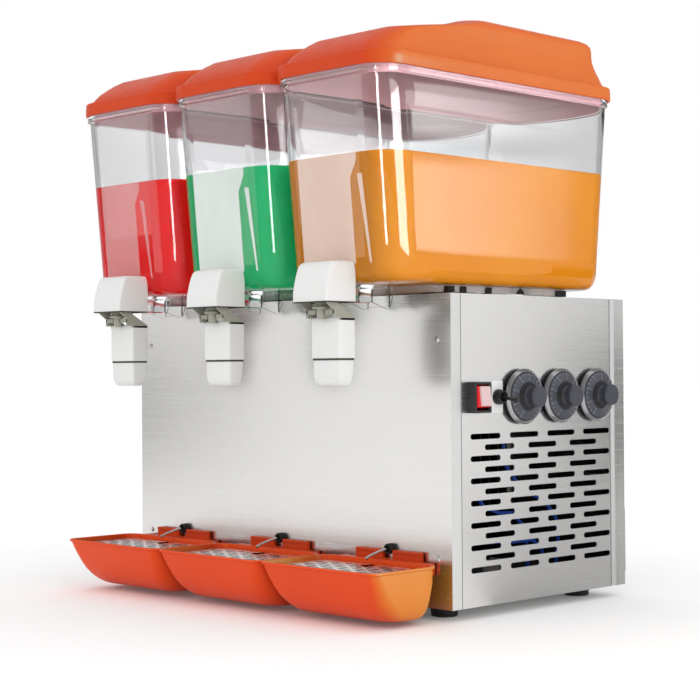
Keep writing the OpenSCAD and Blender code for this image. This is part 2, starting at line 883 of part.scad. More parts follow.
module tray_pegs() {
    color(black_colour)
    for (i = [1:3])
        for (s = [-1, 1]) {
            y_cylinder(peg_r, front_y - 14, front_y, tank_x(i) + s * peg_x, peg_z);
            y_cylinder(2.9, front_y, front_y + 8, tank_x(i) + s * peg_x, peg_z);
        }
}

// Rubber grommet with the bent steel condensate pipe that drips onto the grate
module drain_spouts() {
    tip = [0, front_y - 46, tray_rim_z + 4];
    root = [0, front_y - 6, spout_z];
    run = tip - root;
    fall = atan2(-run[2], -run[1]);
    for (i = [1:3])
        translate([tank_x(i), 0, 0]) {
            color(black_colour)
            difference() {
                union() {
                    y_cylinder(6.5, front_y - 8, front_y, 0, spout_z);
                    y_cylinder(spout_r - 0.1, front_y, front_y + 5, 0, spout_z);
                }
                y_cylinder(2, front_y - 2, front_y + 6, 0, spout_z);
            }
            color(steel_colour)
            translate(root)
                rotate([90 + fall, 0, 0])
                cylinder(r = 2, h = norm(run));
        }
}

// ---------- assembly ----------

base_pan();
front_panel();
left_side_panel();
right_side_panel();
rear_panel();
rear_grille();
top_plate();
feet();
panel_screws();
evaporator_seals();
pump_motors();
tray_pegs();
drain_spouts();
rocker_housing();
toggle_housing();
thermostats();
compressor();
condenser();
fan_shroud();
power_inlet();
wiring_loom();
fan_blade();
power_rocker();
pump_toggle();

for (i = [1:3]) {
    evaporator(i);
    dial(i);
    tank(i);
    lid(i);
    drink(i);
    impeller(i);
    tap_body(i);
    tap_lever(i);
    tap_plunger(i);
    tap_spring(i);
    drip_tray(i);
    tray_grate(i);
}
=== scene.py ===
import math

import bmesh
import bpy
from mathutils import Matrix, Vector


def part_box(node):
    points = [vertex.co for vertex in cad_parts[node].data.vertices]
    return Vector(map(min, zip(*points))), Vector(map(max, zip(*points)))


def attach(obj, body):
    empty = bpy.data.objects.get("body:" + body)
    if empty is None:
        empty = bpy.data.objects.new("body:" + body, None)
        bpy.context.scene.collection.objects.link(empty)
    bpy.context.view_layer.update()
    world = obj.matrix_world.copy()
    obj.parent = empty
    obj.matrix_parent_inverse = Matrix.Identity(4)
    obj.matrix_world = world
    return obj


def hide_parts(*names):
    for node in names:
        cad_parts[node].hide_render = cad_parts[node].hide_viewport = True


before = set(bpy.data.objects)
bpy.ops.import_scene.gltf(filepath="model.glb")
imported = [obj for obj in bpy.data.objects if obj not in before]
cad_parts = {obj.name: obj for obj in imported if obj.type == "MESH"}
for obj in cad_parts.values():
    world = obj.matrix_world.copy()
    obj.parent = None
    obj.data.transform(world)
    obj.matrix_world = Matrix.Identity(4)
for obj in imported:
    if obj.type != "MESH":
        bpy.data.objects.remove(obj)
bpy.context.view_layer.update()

MM = 0.001

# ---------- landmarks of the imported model, in millimetres ----------


def middle(node):
    """Centre of a node's box."""
    return [(a + b) / 2 / MM for a, b in zip(*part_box(node))]


def unit_x(i):
    """Centre of tank, tap and tray number i across the machine."""
    return middle(f"impeller_{i}")[0]


UNITS = (1, 2, 3)
TANK_HEIGHT = 255
TANK_FLOOR = 3.3
TAP_REACH = 132
panel_low, panel_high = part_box("front_panel")
drink_low, drink_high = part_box("drink_1")
tap_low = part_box("tap_body_1")[0]
FRONT = panel_low.y / MM
SIDE = panel_high.x / MM
TOP = panel_high.z / MM
SHEET_BOTTOM = panel_low.z / MM
FLOOR_Z = drink_low.z / MM - TANK_FLOOR
RIM_Z = FLOOR_Z + TANK_HEIGHT
DRINK_TOP = drink_high.z / MM
DRINK_DEPTH = DRINK_TOP - FLOOR_Z
TAP_Z = tap_low.z / MM
TAP_PLANE = tap_low.y / MM + TAP_REACH
EVAP_Y = middle("impeller_1")[1]


# ---------- camera ----------

CAMERA_PLACE = Vector((1.6579, -1.6666, 0.3058))
CAMERA_YAW = math.radians(45.62)
CAMERA_PITCH = math.radians(0.68)
CAMERA_ROLL = math.radians(-0.39)
LENS = 85.9


def make_camera():
    """Camera at the front right of the machine, a little below the top of the cabinet."""
    ahead = Vector((
        -math.sin(CAMERA_YAW) * math.cos(CAMERA_PITCH),
        math.cos(CAMERA_YAW) * math.cos(CAMERA_PITCH),
        math.sin(CAMERA_PITCH),
    ))
    right = Vector((math.cos(CAMERA_YAW), math.sin(CAMERA_YAW), 0))
    up = right.cross(ahead)
    turned_right = math.cos(CAMERA_ROLL) * right + math.sin(CAMERA_ROLL) * up
    turned_up = -math.sin(CAMERA_ROLL) * right + math.cos(CAMERA_ROLL) * up
    camera = bpy.data.objects.new("camera", bpy.data.cameras.new("camera"))
    camera.data.lens = LENS
    camera.data.sensor_width = 36
    camera.data.clip_start = 0.05
    camera.data.clip_end = 100
    axes = Matrix((turned_right, turned_up, -ahead)).transposed().to_4x4()
    camera.matrix_world = Matrix.Translation(CAMERA_PLACE) @ axes
    bpy.context.scene.collection.objects.link(camera)
    bpy.context.scene.camera = camera


make_camera()

# ---------- materials ----------


class Graph:
    """Adds nodes to a node tree and links them."""

    def __init__(self, tree):
        self.tree = tree

    def add(self, kind, **inputs):
        made = self.tree.nodes.new(kind)
        for key, value in inputs.items():
            self.feed(made.inputs[key.replace("_", " ")], value)
        return made

    def feed(self, socket, value):
        if isinstance(value, bpy.types.NodeSocket):
            self.tree.links.new(value, socket)
        else:
            socket.default_value = value

    def span(self, value, low, high, start=0.3, end=0.7, smooth=False):
        """value from start to end becomes low to high."""
        made = self.add("ShaderNodeMapRange", Value=value)
        for key, level in (("From Min", start), ("From Max", end), ("To Min", low), ("To Max", high)):
            made.inputs[key].default_value = level
        if smooth:
            made.interpolation_type = "SMOOTHSTEP"
        return made.outputs["Result"]

    def colours(self, value, *stops):
        """A colour ramp over value; stops are (position, colour)."""
        ramp = self.add("ShaderNodeValToRGB", Fac=value)
        row = ramp.color_ramp.elements
        while len(row) < len(stops):
            row.new(0.5)
        for element, (position, colour) in zip(row, stops):
            element.position = position
            element.color = (*colour, 1)
        return ramp.outputs["Color"]

    def count(self, operation, *values, clamp=False):
        """Arithmetic on one or two values."""
        made = self.add("ShaderNodeMath")
        made.operation = operation
        made.use_clamp = clamp
        for socket, value in zip(made.inputs, values):
            self.feed(socket, value)
        return made.outputs["Value"]

    def mix(self, share, first, second):
        """Mixes two shaders; share says how much of the second."""
        made = self.add("ShaderNodeMixShader", Fac=share)
        self.feed(made.inputs[1], first)
        self.feed(made.inputs[2], second)
        return made.outputs["Shader"]


class Finish(Graph):
    """A Principled material with helpers for the patterns that drive its sockets."""

    def __init__(self, name, **sockets):
        self.material = bpy.data.materials.new(name)
        self.material.use_nodes = True
        super().__init__(self.material.node_tree)
        self.bsdf = self.tree.nodes["Principled BSDF"]
        self.place = self.add("ShaderNodeTexCoord").outputs["Object"]
        for key, value in sockets.items():
            socket = self.bsdf.inputs[key.replace("_", " ")]
            socket.default_value = (*value, 1) if isinstance(value, tuple) else value

    def noise(self, scale, stretch=(1, 1, 1), detail=3.0, roughness=0.5):
        """Noise with features of about 1 / scale metres, squeezed by stretch along each axis."""
        where = self.add("ShaderNodeMapping", Vector=self.place, Scale=stretch).outputs["Vector"]
        made = self.add("ShaderNodeTexNoise", Vector=where, Scale=scale, Detail=detail, Roughness=roughness)
        return made.outputs["Fac"]

    def drive(self, key, value):
        self.tree.links.new(value, self.bsdf.inputs[key])

    def mottle(self, pattern, first, second):
        """Colour that drifts from first to second with the pattern."""
        self.drive("Base Color", self.colours(pattern, (0.3, first), (0.7, second)))

    def bump(self, height, strength, distance):
        made = self.add("ShaderNodeBump", Strength=strength, Distance=distance, Height=height)
        return made.outputs["Normal"]

    def lets_lamps_through(self, tint):
        """Light from lamps passes the clear wall, so what is inside is lit."""
        path = self.add("ShaderNodeLightPath")
        clear = self.add("ShaderNodeBsdfTransparent", Color=(*tint, 1))
        surface = self.mix(path.outputs["Is Shadow Ray"], self.bsdf.outputs["BSDF"], clear.outputs["BSDF"])
        self.tree.links.new(surface, self.tree.nodes["Material Output"].inputs["Surface"])


def darker(colour, share):
    return tuple(c * share for c in colour)


def plastic(name, colour, roughness=0.32, mottle=0.06, grain=0.03, coat=0.0, **sockets):
    """Moulded plastic: slightly uneven colour, gloss that varies, and a fine moulded grain."""
    finish = Finish(name, Coat_Weight=coat, Coat_Roughness=0.08, **sockets)
    cloud = finish.noise(9, detail=4)
    finish.mottle(cloud, darker(colour, 1 - mottle), colour)
    finish.drive("Roughness", finish.span(finish.noise(60), roughness * 0.85, roughness * 1.2))
    fine = finish.noise(700, detail=1)
    finish.drive("Normal", finish.bump(fine, grain, 0.0002))
    return finish.material


def brushed(name, colour, roughness, lines):
    """Sheet metal with fine lines; lines says how finely the grain is cut along each axis."""
    finish = Finish(name, Metallic=1.0)
    streak = finish.noise(14, stretch=lines, detail=6, roughness=0.7)
    cloud = finish.noise(4, detail=3)
    base = finish.colours(streak, (0.25, darker(colour, 0.975)), (0.75, colour))
    tint = finish.add("ShaderNodeMix")
    tint.data_type = "RGBA"
    tint.blend_type = "MULTIPLY"
    finish.tree.links.new(base, tint.inputs["A"])
    soft = finish.colours(cloud, (0.3, (0.97,) * 3), (0.7, (1.0,) * 3))
    finish.tree.links.new(soft, tint.inputs["B"])
    tint.inputs["Factor"].default_value = 1.0
    finish.drive("Base Color", tint.outputs["Result"])
    finish.drive("Roughness", finish.span(streak, roughness * 0.85, roughness * 1.2))
    finish.drive("Normal", finish.bump(streak, 0.03, 0.0004))
    return finish.material


def clear_plastic(name, tint=(0.99, 0.995, 1.0), cloudy=0.008, solid=0.0):
    """Clear moulding; cloudy is its roughness and solid the share of light it scatters."""
    finish = Finish(name, Base_Color=tint, IOR=1.36, Transmission_Weight=1.0 - solid)
    wave = finish.noise(11, stretch=(1, 1, 0.35), detail=1)
    finish.drive("Roughness", finish.span(finish.noise(40), cloudy * 0.7, cloudy * 1.4))
    finish.drive("Normal", finish.bump(wave, 0.012, 0.004))
    finish.lets_lamps_through((0.98, 0.985, 0.99))
    return finish.material


def reflection_veil(name, cover, colour=(0.90, 0.89, 0.88)):
    """Painted reflection of a pale softbox, as a veil on the cold wall; cover is how much of what is behind
    it hides.
    """
    finish = Finish(name, Base_Color=colour, Roughness=0.55, Specular_IOR_Level=0.2)
    drift = finish.noise(14, stretch=(1, 1, 0.5), detail=4)
    finish.drive("Alpha", finish.span(drift, cover * 0.92, cover * 1.08))
    return finish.material


def punched(name, colour, edge):
    """Bright plate with painted shade: faces that point sideways, the punched edges, are painted dark for the
    shade in the holes.
    """
    finish = Finish(name, Metallic=1.0)
    way = finish.add("ShaderNodeSeparateXYZ", Vector=finish.add("ShaderNodeNewGeometry").outputs["Normal"])
    finish.drive("Base Color", finish.colours(way.outputs["Z"], (0.45, edge), (0.8, colour)))
    finish.drive("Roughness", finish.span(finish.noise(60), 0.2, 0.3))
    return finish.material


def liquid(name, deep, pale):
    """Chilled drink: dense colour with paler cloudy drifts, and a painted glow of its deep colour for light
    inside the drink.
    """
    # painted light: the emission makes the drink glow in its deep colour
    finish = Finish(name, Roughness=0.4, Specular_IOR_Level=0.1, Emission_Color=deep, Emission_Strength=0.28)
    drift = finish.noise(7, stretch=(1, 1, 0.6), detail=4)
    finish.drive("Base Color", finish.colours(drift, (0.3, deep), (0.72, pale)))
    finish.drive("Normal", finish.bump(finish.noise(5, detail=1), 0.05, 0.004))
    return finish.material


SHELL = (0.61, 0.056, 0.009)
WHITE = (0.78, 0.785, 0.775)
BLACK = (0.018, 0.018, 0.020)

steel_look = brushed("stainless_look", (0.80, 0.79, 0.775), roughness=0.24, lines=(1, 1, 70))
bright_look = brushed("bright_metal_look", (0.80, 0.80, 0.80), roughness=0.14, lines=(1, 1, 30))
# painted shade: the grate's hole edges are dark for the shade in the holes
grate_painted_shade_look = punched("grate_painted_shade_look", (0.92, 0.92, 0.91), (0.012, 0.012, 0.014))
shell_look = plastic("shell_look", SHELL, roughness=0.34, mottle=0.04, Specular_IOR_Level=0.16)
white_look = plastic("white_look", WHITE, roughness=0.36, mottle=0.02, grain=0.08)
black_look = plastic("black_look", BLACK, roughness=0.42, mottle=0.25)
dial_look = plastic("dial_look", (0.060, 0.064, 0.082), roughness=0.34, mottle=0.2, coat=0.1)
rim_look = brushed("dial_rim_look", (0.42, 0.42, 0.43), roughness=0.16, lines=(20, 20, 20))
# painted shade: the valve block, the lever's cheeks and the plunger sit in the shadow under the tap cover, so
# they are painted dark and mid grey-olive
valve_painted_shade_look = plastic("valve_painted_shade_look", (0.10, 0.10, 0.08), roughness=0.4, mottle=0.2)
cheek_painted_shade_look = plastic("cheek_painted_shade_look", (0.36, 0.36, 0.30), roughness=0.4, mottle=0.12)
return_look = brushed("return_look", (0.88, 0.88, 0.87), roughness=0.5, lines=(1, 1, 40))
seam_look = plastic("seam_look", (0.22, 0.22, 0.22), roughness=0.5)
rubber_look = plastic("rubber_look", (0.014, 0.014, 0.015), roughness=0.62, mottle=0.3, grain=0.3)
clear_look = clear_plastic("clear_look")
frosted_look = clear_plastic("frosted_look", tint=(0.97, 0.965, 0.97), cloudy=0.3, solid=0.45)
# painted light: a pale lining that glows a little, for the light that comes through the lid's moulding
glow_lining_look = plastic("lid_lining_look", (0.34, 0.17, 0.19), roughness=0.5,
                      Emission_Color=(0.60, 0.38, 0.42), Emission_Strength=0.08)
# painted shade: near-black olive for the shadow in the lever's groove and under the cover's edge
painted_shade_look = plastic("gap_painted_shade_look", (0.055, 0.050, 0.028), roughness=0.6, mottle=0.2)
mark_look = plastic("mark_look", (0.30, 0.31, 0.36), roughness=0.4, mottle=0.05)
paint_look = plastic("motor_paint_look", (0.10, 0.105, 0.115), roughness=0.4, mottle=0.2)
compressor_look = plastic("compressor_look", (0.02, 0.02, 0.022), roughness=0.3, mottle=0.2)
cream_look = plastic("cream_look", (0.62, 0.58, 0.47), roughness=0.45)
copper_look = brushed("condenser_look", (0.10, 0.09, 0.085), roughness=0.35, lines=(1, 30, 1))
spring_look = brushed("spring_look", (0.66, 0.66, 0.68), roughness=0.25, lines=(20, 20, 20))
drink_looks = {
    1: liquid("drink_red_look", (0.47, 0.0008, 0.002), (0.55, 0.003, 0.003)),
    2: liquid("drink_green_look", (0.003, 0.26, 0.080), (0.006, 0.32, 0.115)),
    3: liquid("drink_orange_look", (0.35, 0.116, 0.0003), (0.385, 0.148, 0.001)),
}
# painted reflections of a pale softbox on the tanks' flat fronts
reflection_veil_looks = {
    1: reflection_veil("reflection_veil_red_look", 0.15),
    2: reflection_veil("reflection_veil_green_look", 0.66, (0.87, 0.91, 0.885)),
    3: reflection_veil("reflection_veil_orange_look", 0.42, (1.0, 0.84, 0.76)),
}


# ---------- mesh helpers (all in millimetres until the mesh is made) ----------


def rounded(x0, x1, y0, y1, r_front, r_back, z, corner=9, edge=5):
    """Closed ring of points at height z: a rectangle with rounded corners, front at y0."""
    centres = (
        (x1 - r_front, y0 + r_front, r_front, -90),
        (x1 - r_back, y1 - r_back, r_back, 0),
        (x0 + r_back, y1 - r_back, r_back, 90),
        (x0 + r_front, y0 + r_front, r_front, 180),
    )
    arcs = []
    for cx, cy, r, start in centres:
        angles = [math.radians(start + 90 * k / corner) for k in range(corner + 1)]
        arcs.append([(cx + r * math.cos(a), cy + r * math.sin(a), z) for a in angles])
    ring = []
    for k, arc in enumerate(arcs):
        ring += arc
        after = arcs[(k + 1) % 4][0]
        for step in range(1, edge):
            t = step / edge
            ring.append(tuple(a + (b - a) * t for a, b in zip(arc[-1], after)))
    return ring


def section(x, y, row, z, inset=0.0, **detail):
    """Ring from a row of half width, front, back, front radius and back radius, about (x, y)."""
    half, front, back, r_front, r_back = row
    return rounded(x - half + inset, x + half - inset, y + front + inset, y + back - inset,
                   r_front - inset, r_back - inset, z, **detail)


def circle_like(ring, cx, cy, r, z):
    """A circle with one point for each point of ring, at the same bearing from its centre."""
    points = []
    for x, y, _ in ring:
        bearing = math.atan2(y - cy, x - cx)
        points.append((cx + r * math.cos(bearing), cy + r * math.sin(bearing), z))
    return points


def mixed(levels, h):
    """The row of levels at h, straight between the rows given; the first value is the height."""
    for low, high in zip(levels, levels[1:]):
        if h <= high[0]:
            t = (h - low[0]) / (high[0] - low[0])
            return [a + (b - a) * t for a, b in zip(low[1:], high[1:])]
    return list(levels[-1][1:])


class Shape:
    """Gathers lofts, lathes and tubes into one mesh."""

    def __init__(self):
        self.points = []
        self.faces = []

    def add_ring(self, ring):
        start = len(self.points)
        self.points += [tuple(p) for p in ring]
        return [start + k for k in range(len(ring))]

    def join(self, low, high):
        """Skins the space between two rings of point numbers."""
        count = len(low)
        for k in range(count):
            n = (k + 1) % count
            self.faces.append((low[k], low[n], high[n], high[k]))

    def loft(self, rings, looped=False, capped=True):
        """Skins rings of equal length; looped joins the last ring to the first. Gives back its rows."""
        rows = [self.add_ring(ring) for ring in rings]
        for low, high in zip(rows, rows[1:]):
            self.join(low, high)
        if looped:
            self.join(rows[-1], rows[0])
        elif capped:
            self.faces.append(tuple(reversed(rows[0])))
            self.faces.append(tuple(rows[-1]))
        return rows

    def lathe(self, profile, centre, axis="Z", steps=48, looped=False):
        """Turns (radius, height) points about an axis through centre."""
        rings = []
        for radius, height in profile:
            ring = []
            for k in range(steps):
                a = 2 * math.pi * k / steps
                c, s = max(radius, 0.001) * math.cos(a), max(radius, 0.001) * math.sin(a)
                local = {"X": (height, c, s), "Y": (s, height, c), "Z": (c, s, height)}[axis]
                ring.append(tuple(o + v for o, v in zip(centre, local)))
            rings.append(ring)
        self.loft(rings, looped=looped)

    def tube(self, path, radius, sides=12):
        """A round bar along a path of points; radius may be one number or one per point."""
        spots = [Vector(p) for p in path]
        radii = radius if isinstance(radius, (list, tuple)) else [radius] * len(spots)
        side = None
        rings = []
        for k, spot in enumerate(spots):
            run = (spots[min(k + 1, len(spots) - 1)] - spots[max(k - 1, 0)]).normalized()
            if side is None:
                side = run.orthogonal().normalized()
            side = (side - run * side.dot(run)).normalized()
            rise = run.cross(side)
            rings.append([
                spot + radii[k] * (math.cos(a) * side + math.sin(a) * rise)
                for a in (2 * math.pi * n / sides for n in range(sides))
            ])
        self.loft(rings)

    def slab(self, outline, low, high, axis="Z"):
        """A flat outline of two-number points, given thickness along an axis."""
        def at(p, h):
            return {"X": (h, p[0], p[1]), "Y": (p[0], h, p[1]), "Z": (p[0], p[1], h)}[axis]
        self.loft([[at(p, low) for p in outline], [at(p, high) for p in outline]])

    def box(self, x0, x1, y0, y1, z0, z1):
        self.slab([(x0, y0), (x1, y0), (x1, y1), (x0, y1)], z0, z1)

    def moved(self, matrix):
        self.points = [tuple(matrix @ Vector(p)) for p in self.points]
        return self


def oblong(x0, x1, y0, y1, r, steps=5):
    """Outline of a flat rectangle with rounded corners, as two-number points."""
    return [p[:2] for p in rounded(x0, x1, y0, y1, r, r, 0, corner=steps, edge=1)]


def plate_ring(x, y, z, half_y, half_z, r):
    """Rounded rectangle about (y, z) in the plane at x."""
    return [(x, p[0], p[1]) for p in oblong(y - half_y, y + half_y, z - half_z, z + half_z, r)]


def piece(name, shape, look, body, stands_for=(), sharp=35, bevel=0.0):
    """Makes the mesh object, in metres, and ties it to its body, slot and CAD nodes."""
    mesh = bpy.data.meshes.new(name)
    mesh.from_pydata([tuple(c * MM for c in p) for p in shape.points], [], shape.faces)
    work = bmesh.new()
    work.from_mesh(mesh)
    bmesh.ops.recalc_face_normals(work, faces=work.faces)
    work.to_mesh(mesh)
    work.free()
    mesh.shade_smooth()
    mesh.set_sharp_from_angle(angle=math.radians(sharp))
    made = bpy.data.objects.new(name, mesh)
    bpy.context.scene.collection.objects.link(made)
    mesh.materials.append(look)
    if bevel:
        rounding = made.modifiers.new("edges", "BEVEL")
        rounding.width = bevel * MM
        rounding.segments = 2
        rounding.limit_method = "ANGLE"
        rounding.angle_limit = math.radians(sharp)
        rounding.harden_normals = True
    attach(made, body)
    if stands_for:
        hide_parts(*stands_for)
    return made


# ---------- finishes of the CAD nodes that stay ----------

STEEL_NODES = (
    "base_pan", "front_panel", "left_side_panel", "right_side_panel", "rear_panel", "rear_grille",
    "top_plate",
)
CAD_LOOKS = {
    **dict.fromkeys(STEEL_NODES, steel_look), "panel_screws": bright_look, "evaporator_seals": rubber_look,
    "pump_motors": paint_look, "tray_pegs": black_look, "thermostats": cream_look,
    "compressor": compressor_look, "condenser": copper_look, "fan_shroud": paint_look,
    "fan_blade": black_look, "power_inlet": black_look,
}
for i in UNITS:
    CAD_LOOKS[f"evaporator_{i}"] = bright_look
    CAD_LOOKS[f"impeller_{i}"] = white_look
    CAD_LOOKS[f"tray_grate_{i}"] = grate_painted_shade_look
    CAD_LOOKS[f"tap_spring_{i}"] = spring_look
for node, look in CAD_LOOKS.items():
    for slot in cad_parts[node].material_slots:
        slot.material = look

# The loom keeps the colours of its wires: blue and yellow insulation and a white block.
wire_looks = [
    plastic("wire_blue_look", (0.02, 0.09, 0.55), roughness=0.4),
    plastic("wire_yellow_look", (0.80, 0.55, 0.02), roughness=0.4),
    white_look,
]
for k, slot in enumerate(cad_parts["wiring_loom"].material_slots):
    slot.material = wire_looks[k % len(wire_looks)]


# ---------- tanks ----------

# Height above the tank floor, half width, front, back (from the front panel), corner radius
TANK_LEVELS = [
    (0, 83, -76, 306, 28), (1.2, 86.6, -79.6, 309.6, 30.4), (3, 89.6, -82.6, 312.6, 33),
    (6, 92, -85, 315, 35), (10, 93.8, -87.3, 317.3, 36.5), (14.5, 95.1, -88.9, 318.9, 37.5),
    (20, 96, -90, 320, 38), (255, 98.5, -111, 341, 38),
]
# Half width, front, back, corner radius of the rim
FLANGE = (100.5, -114, 344, 40)
WALL = 3
EVAP_HOLE = 66
WELL_HEIGHT = 128
TANK_CORNER = 14
TANK_EDGE = 5
FACET_WIDTH = 9
PROUD = 0.9


def tank_ring(x, h, inset=0.0, grow=0.0, proud=0.0):
    """Ring of the tank at height h above its floor; grow goes from the wall (0) to the flange (1).

    The flat front stands proud of the corners, with a narrow facet down each side of it.
    """
    half, front, back, r = [a + (b - a) * grow for a, b in zip(mixed(TANK_LEVELS, h), FLANGE)]
    half -= inset
    r -= inset
    ring = rounded(x - half, x + half, FRONT + front + inset, FRONT + back - inset, r, r, FLOOR_Z + h,
                   corner=TANK_CORNER, edge=TANK_EDGE)
    flat = half - r - FACET_WIDTH
    for k in range(1, TANK_EDGE):
        across = flat * (2 * (k - 1) / (TANK_EDGE - 2) - 1)
        ring[k - TANK_EDGE] = (x + across, ring[k - TANK_EDGE][1] - proud, FLOOR_Z + h)
    return ring


def sharpen_facets(tank, count):
    """Marks the edges down both sides of the flat front as sharp."""
    edges = {count - TANK_EDGE, count - TANK_EDGE + 1, count - 1, 0}
    for edge in tank.data.edges:
        first, second = (v % count for v in edge.vertices)
        if first == second and first in edges:
            edge.use_edge_sharp = True


def make_tank(i):
    """Clear open-topped tank with a beaded rim, and a hole in its floor for the evaporator."""
    x = unit_x(i)
    base = tank_ring(x, 0, proud=PROUD)
    heights = [0, 1.2, 3, 6, 10, 14.5, 20, 60, 110, 155, 200, 245]
    outer = [tank_ring(x, h, proud=PROUD if 5 < h < 240 else 0.0) for h in heights]
    # the rim is moulded as two beads with a groove between them
    beads = [(246.2, 0.25), (246.6, 0.7), (247.6, 1.0), (249.4, 1.0), (250.2, 0.72),
             (251.2, 0.72), (252.0, 1.0), (253.8, 1.0), (254.8, 0.8)]
    outer += [tank_ring(x, h, grow=g) for h, g in beads]
    inner_heights = [254.8, 200, 155, 110, 60, 22, 16, 12, 8, 5, 3.6, 3]
    inner = [tank_ring(x, h, WALL) for h in inner_heights]
    hole_out = circle_like(base, x, EVAP_Y, EVAP_HOLE, FLOOR_Z)
    hole_in = circle_like(base, x, EVAP_Y, EVAP_HOLE, FLOOR_Z + WALL)
    shape = Shape()
    shape.loft([hole_out] + outer + inner + [hole_in], looped=True)
    tank = piece(f"tank_shell_{i}", shape, clear_look, f"tank_{i}", [f"tank_{i}"], sharp=32)
    sharpen_facets(tank, len(base))


def make_outlet(i):
    """Clear outlet under the front of a tank, with fins that stiffen it, and the tank's feet."""
    x = unit_x(i)
    z = FLOOR_Z
    shape = Shape()
    shape.loft([
        rounded(x - w, x + w, TAP_PLANE + y0, TAP_PLANE + y1, 4, 4, h, corner=4, edge=2)
        for w, y0, y1, h in (
            (20, -80, -48, z - 24), (22, -82, -46, z - 22), (22, -82, -46, z - 8), (24, -82, -42, z - 1)
        )
    ])
    fin = [(TAP_PLANE + y, z + h) for y, h in ((-45, -22), (-20, -30), (-14, -29), (-4, -1), (-45, -1))]
    for s in (-1, 1):
        shape.slab(fin, x + s * 19 - 1.2, x + s * 19 + 1.2, axis="X")
    shape.box(x - 19, x + 19, TAP_PLANE - 16, TAP_PLANE - 13.5, z - 27, z - 1)
    piece(f"tank_outlet_{i}", shape, clear_look, f"tank_{i}", bevel=0.6)
    skirt = Shape()
    skirt.loft([
        rounded(x - 83 + inset, x + 83 - inset, FRONT + 6 + inset, FRONT + 282 - inset, 28, 28, z + h)
        for h, inset in ((-0.5, 9), (-8, 9.5), (-9.2, 10), (-9.2, 11.8), (-8, 12), (-0.5, 12))
    ], looped=True)
    for s in (-1, 1):
        for y in (30, 90, 240):
            skirt.box(x + s * 66 - 1.5, x + s * 66 + 1.5, FRONT + y, FRONT + y + 16, z - 9.5, z - 0.5)
    piece(f"tank_skirt_{i}", skirt, frosted_look, f"tank_{i}")


def make_drink(i):
    """The drink, with a well for the evaporator dome."""
    x = unit_x(i)
    # the wall bends light so that the drink seems to reach its outside
    gap = 0.9
    level = DRINK_DEPTH
    heights = [gap, 1.8, 3.6, 6.6, 10.6, 15, 20.5, 60, 110, level - 2, level - 0.6]
    rings = [tank_ring(x, h, gap) for h in heights]
    rings.append(tank_ring(x, level, gap + 0.5))
    rings.append(tank_ring(x, level - 0.4, gap + 5))
    base = rings[0]
    well_top = FLOOR_Z + WELL_HEIGHT
    well = [
        circle_like(base, x, EVAP_Y, r, h)
        for r, h in ((0.5, well_top), (40, well_top), (65, well_top - 6), (EVAP_HOLE, well_top - 16),
                     (EVAP_HOLE, FLOOR_Z + gap))
    ]
    shape = Shape()
    surface = circle_like(base, x, EVAP_Y, 0.5, DRINK_TOP - 0.4)
    outside = shape.loft(rings + [surface], capped=False)
    shape.faces.append(tuple(outside[-1]))
    inside = shape.loft(well, capped=False)
    shape.faces.append(tuple(inside[0]))
    shape.join(inside[-1], outside[0])
    piece(f"drink_fill_{i}", shape, drink_looks[i], f"tank_{i}", [f"drink_{i}"], sharp=40)


# ---------- lids ----------

# Height above the lid band, half width, front, back, front radius, back radius
DOME = [
    (-0.5, 93.4, -109.4, 342.4, 34, 34), (0.6, 93, -109, 342, 34, 34), (3.5, 91.6, -106.8, 340.6, 33, 33),
    (7, 90, -104, 339, 32, 32), (13, 88.0, -98.0, 336.6, 31, 31), (20, 85.6, -88, 333, 30, 30),
    (27, 83.6, -77, 329.6, 29, 28), (34, 81.8, -63, 326.4, 28, 26), (41, 81.2, -22, 324.4, 26, 24),
    (48, 81.4, 24, 322.4, 24, 22), (54, 80.6, 62, 320.6, 22, 20), (58.5, 77, 74, 318, 22, 20),
    (62, 71, 80, 314.6, 24, 22), (65, 60, 88, 308, 26, 24), (66.6, 46, 98, 298, 28, 26),
]
# The band round the lid's edge and the lip that drops inside the tank: the same columns without the height
BAND = (101.2, -117, 350, 40, 40)
LIP = (93.5, -103, 335, 32, 32)
BAND_HEIGHT = 18
CROWN_Y = 198
CROWN_Z = 85.2
LID_WALL = 3.0


def lid_ring(x, h, inset=0.0, lift=0.0):
    return section(x, FRONT, mixed(DOME, h), RIM_Z + BAND_HEIGHT + h + lift, inset)


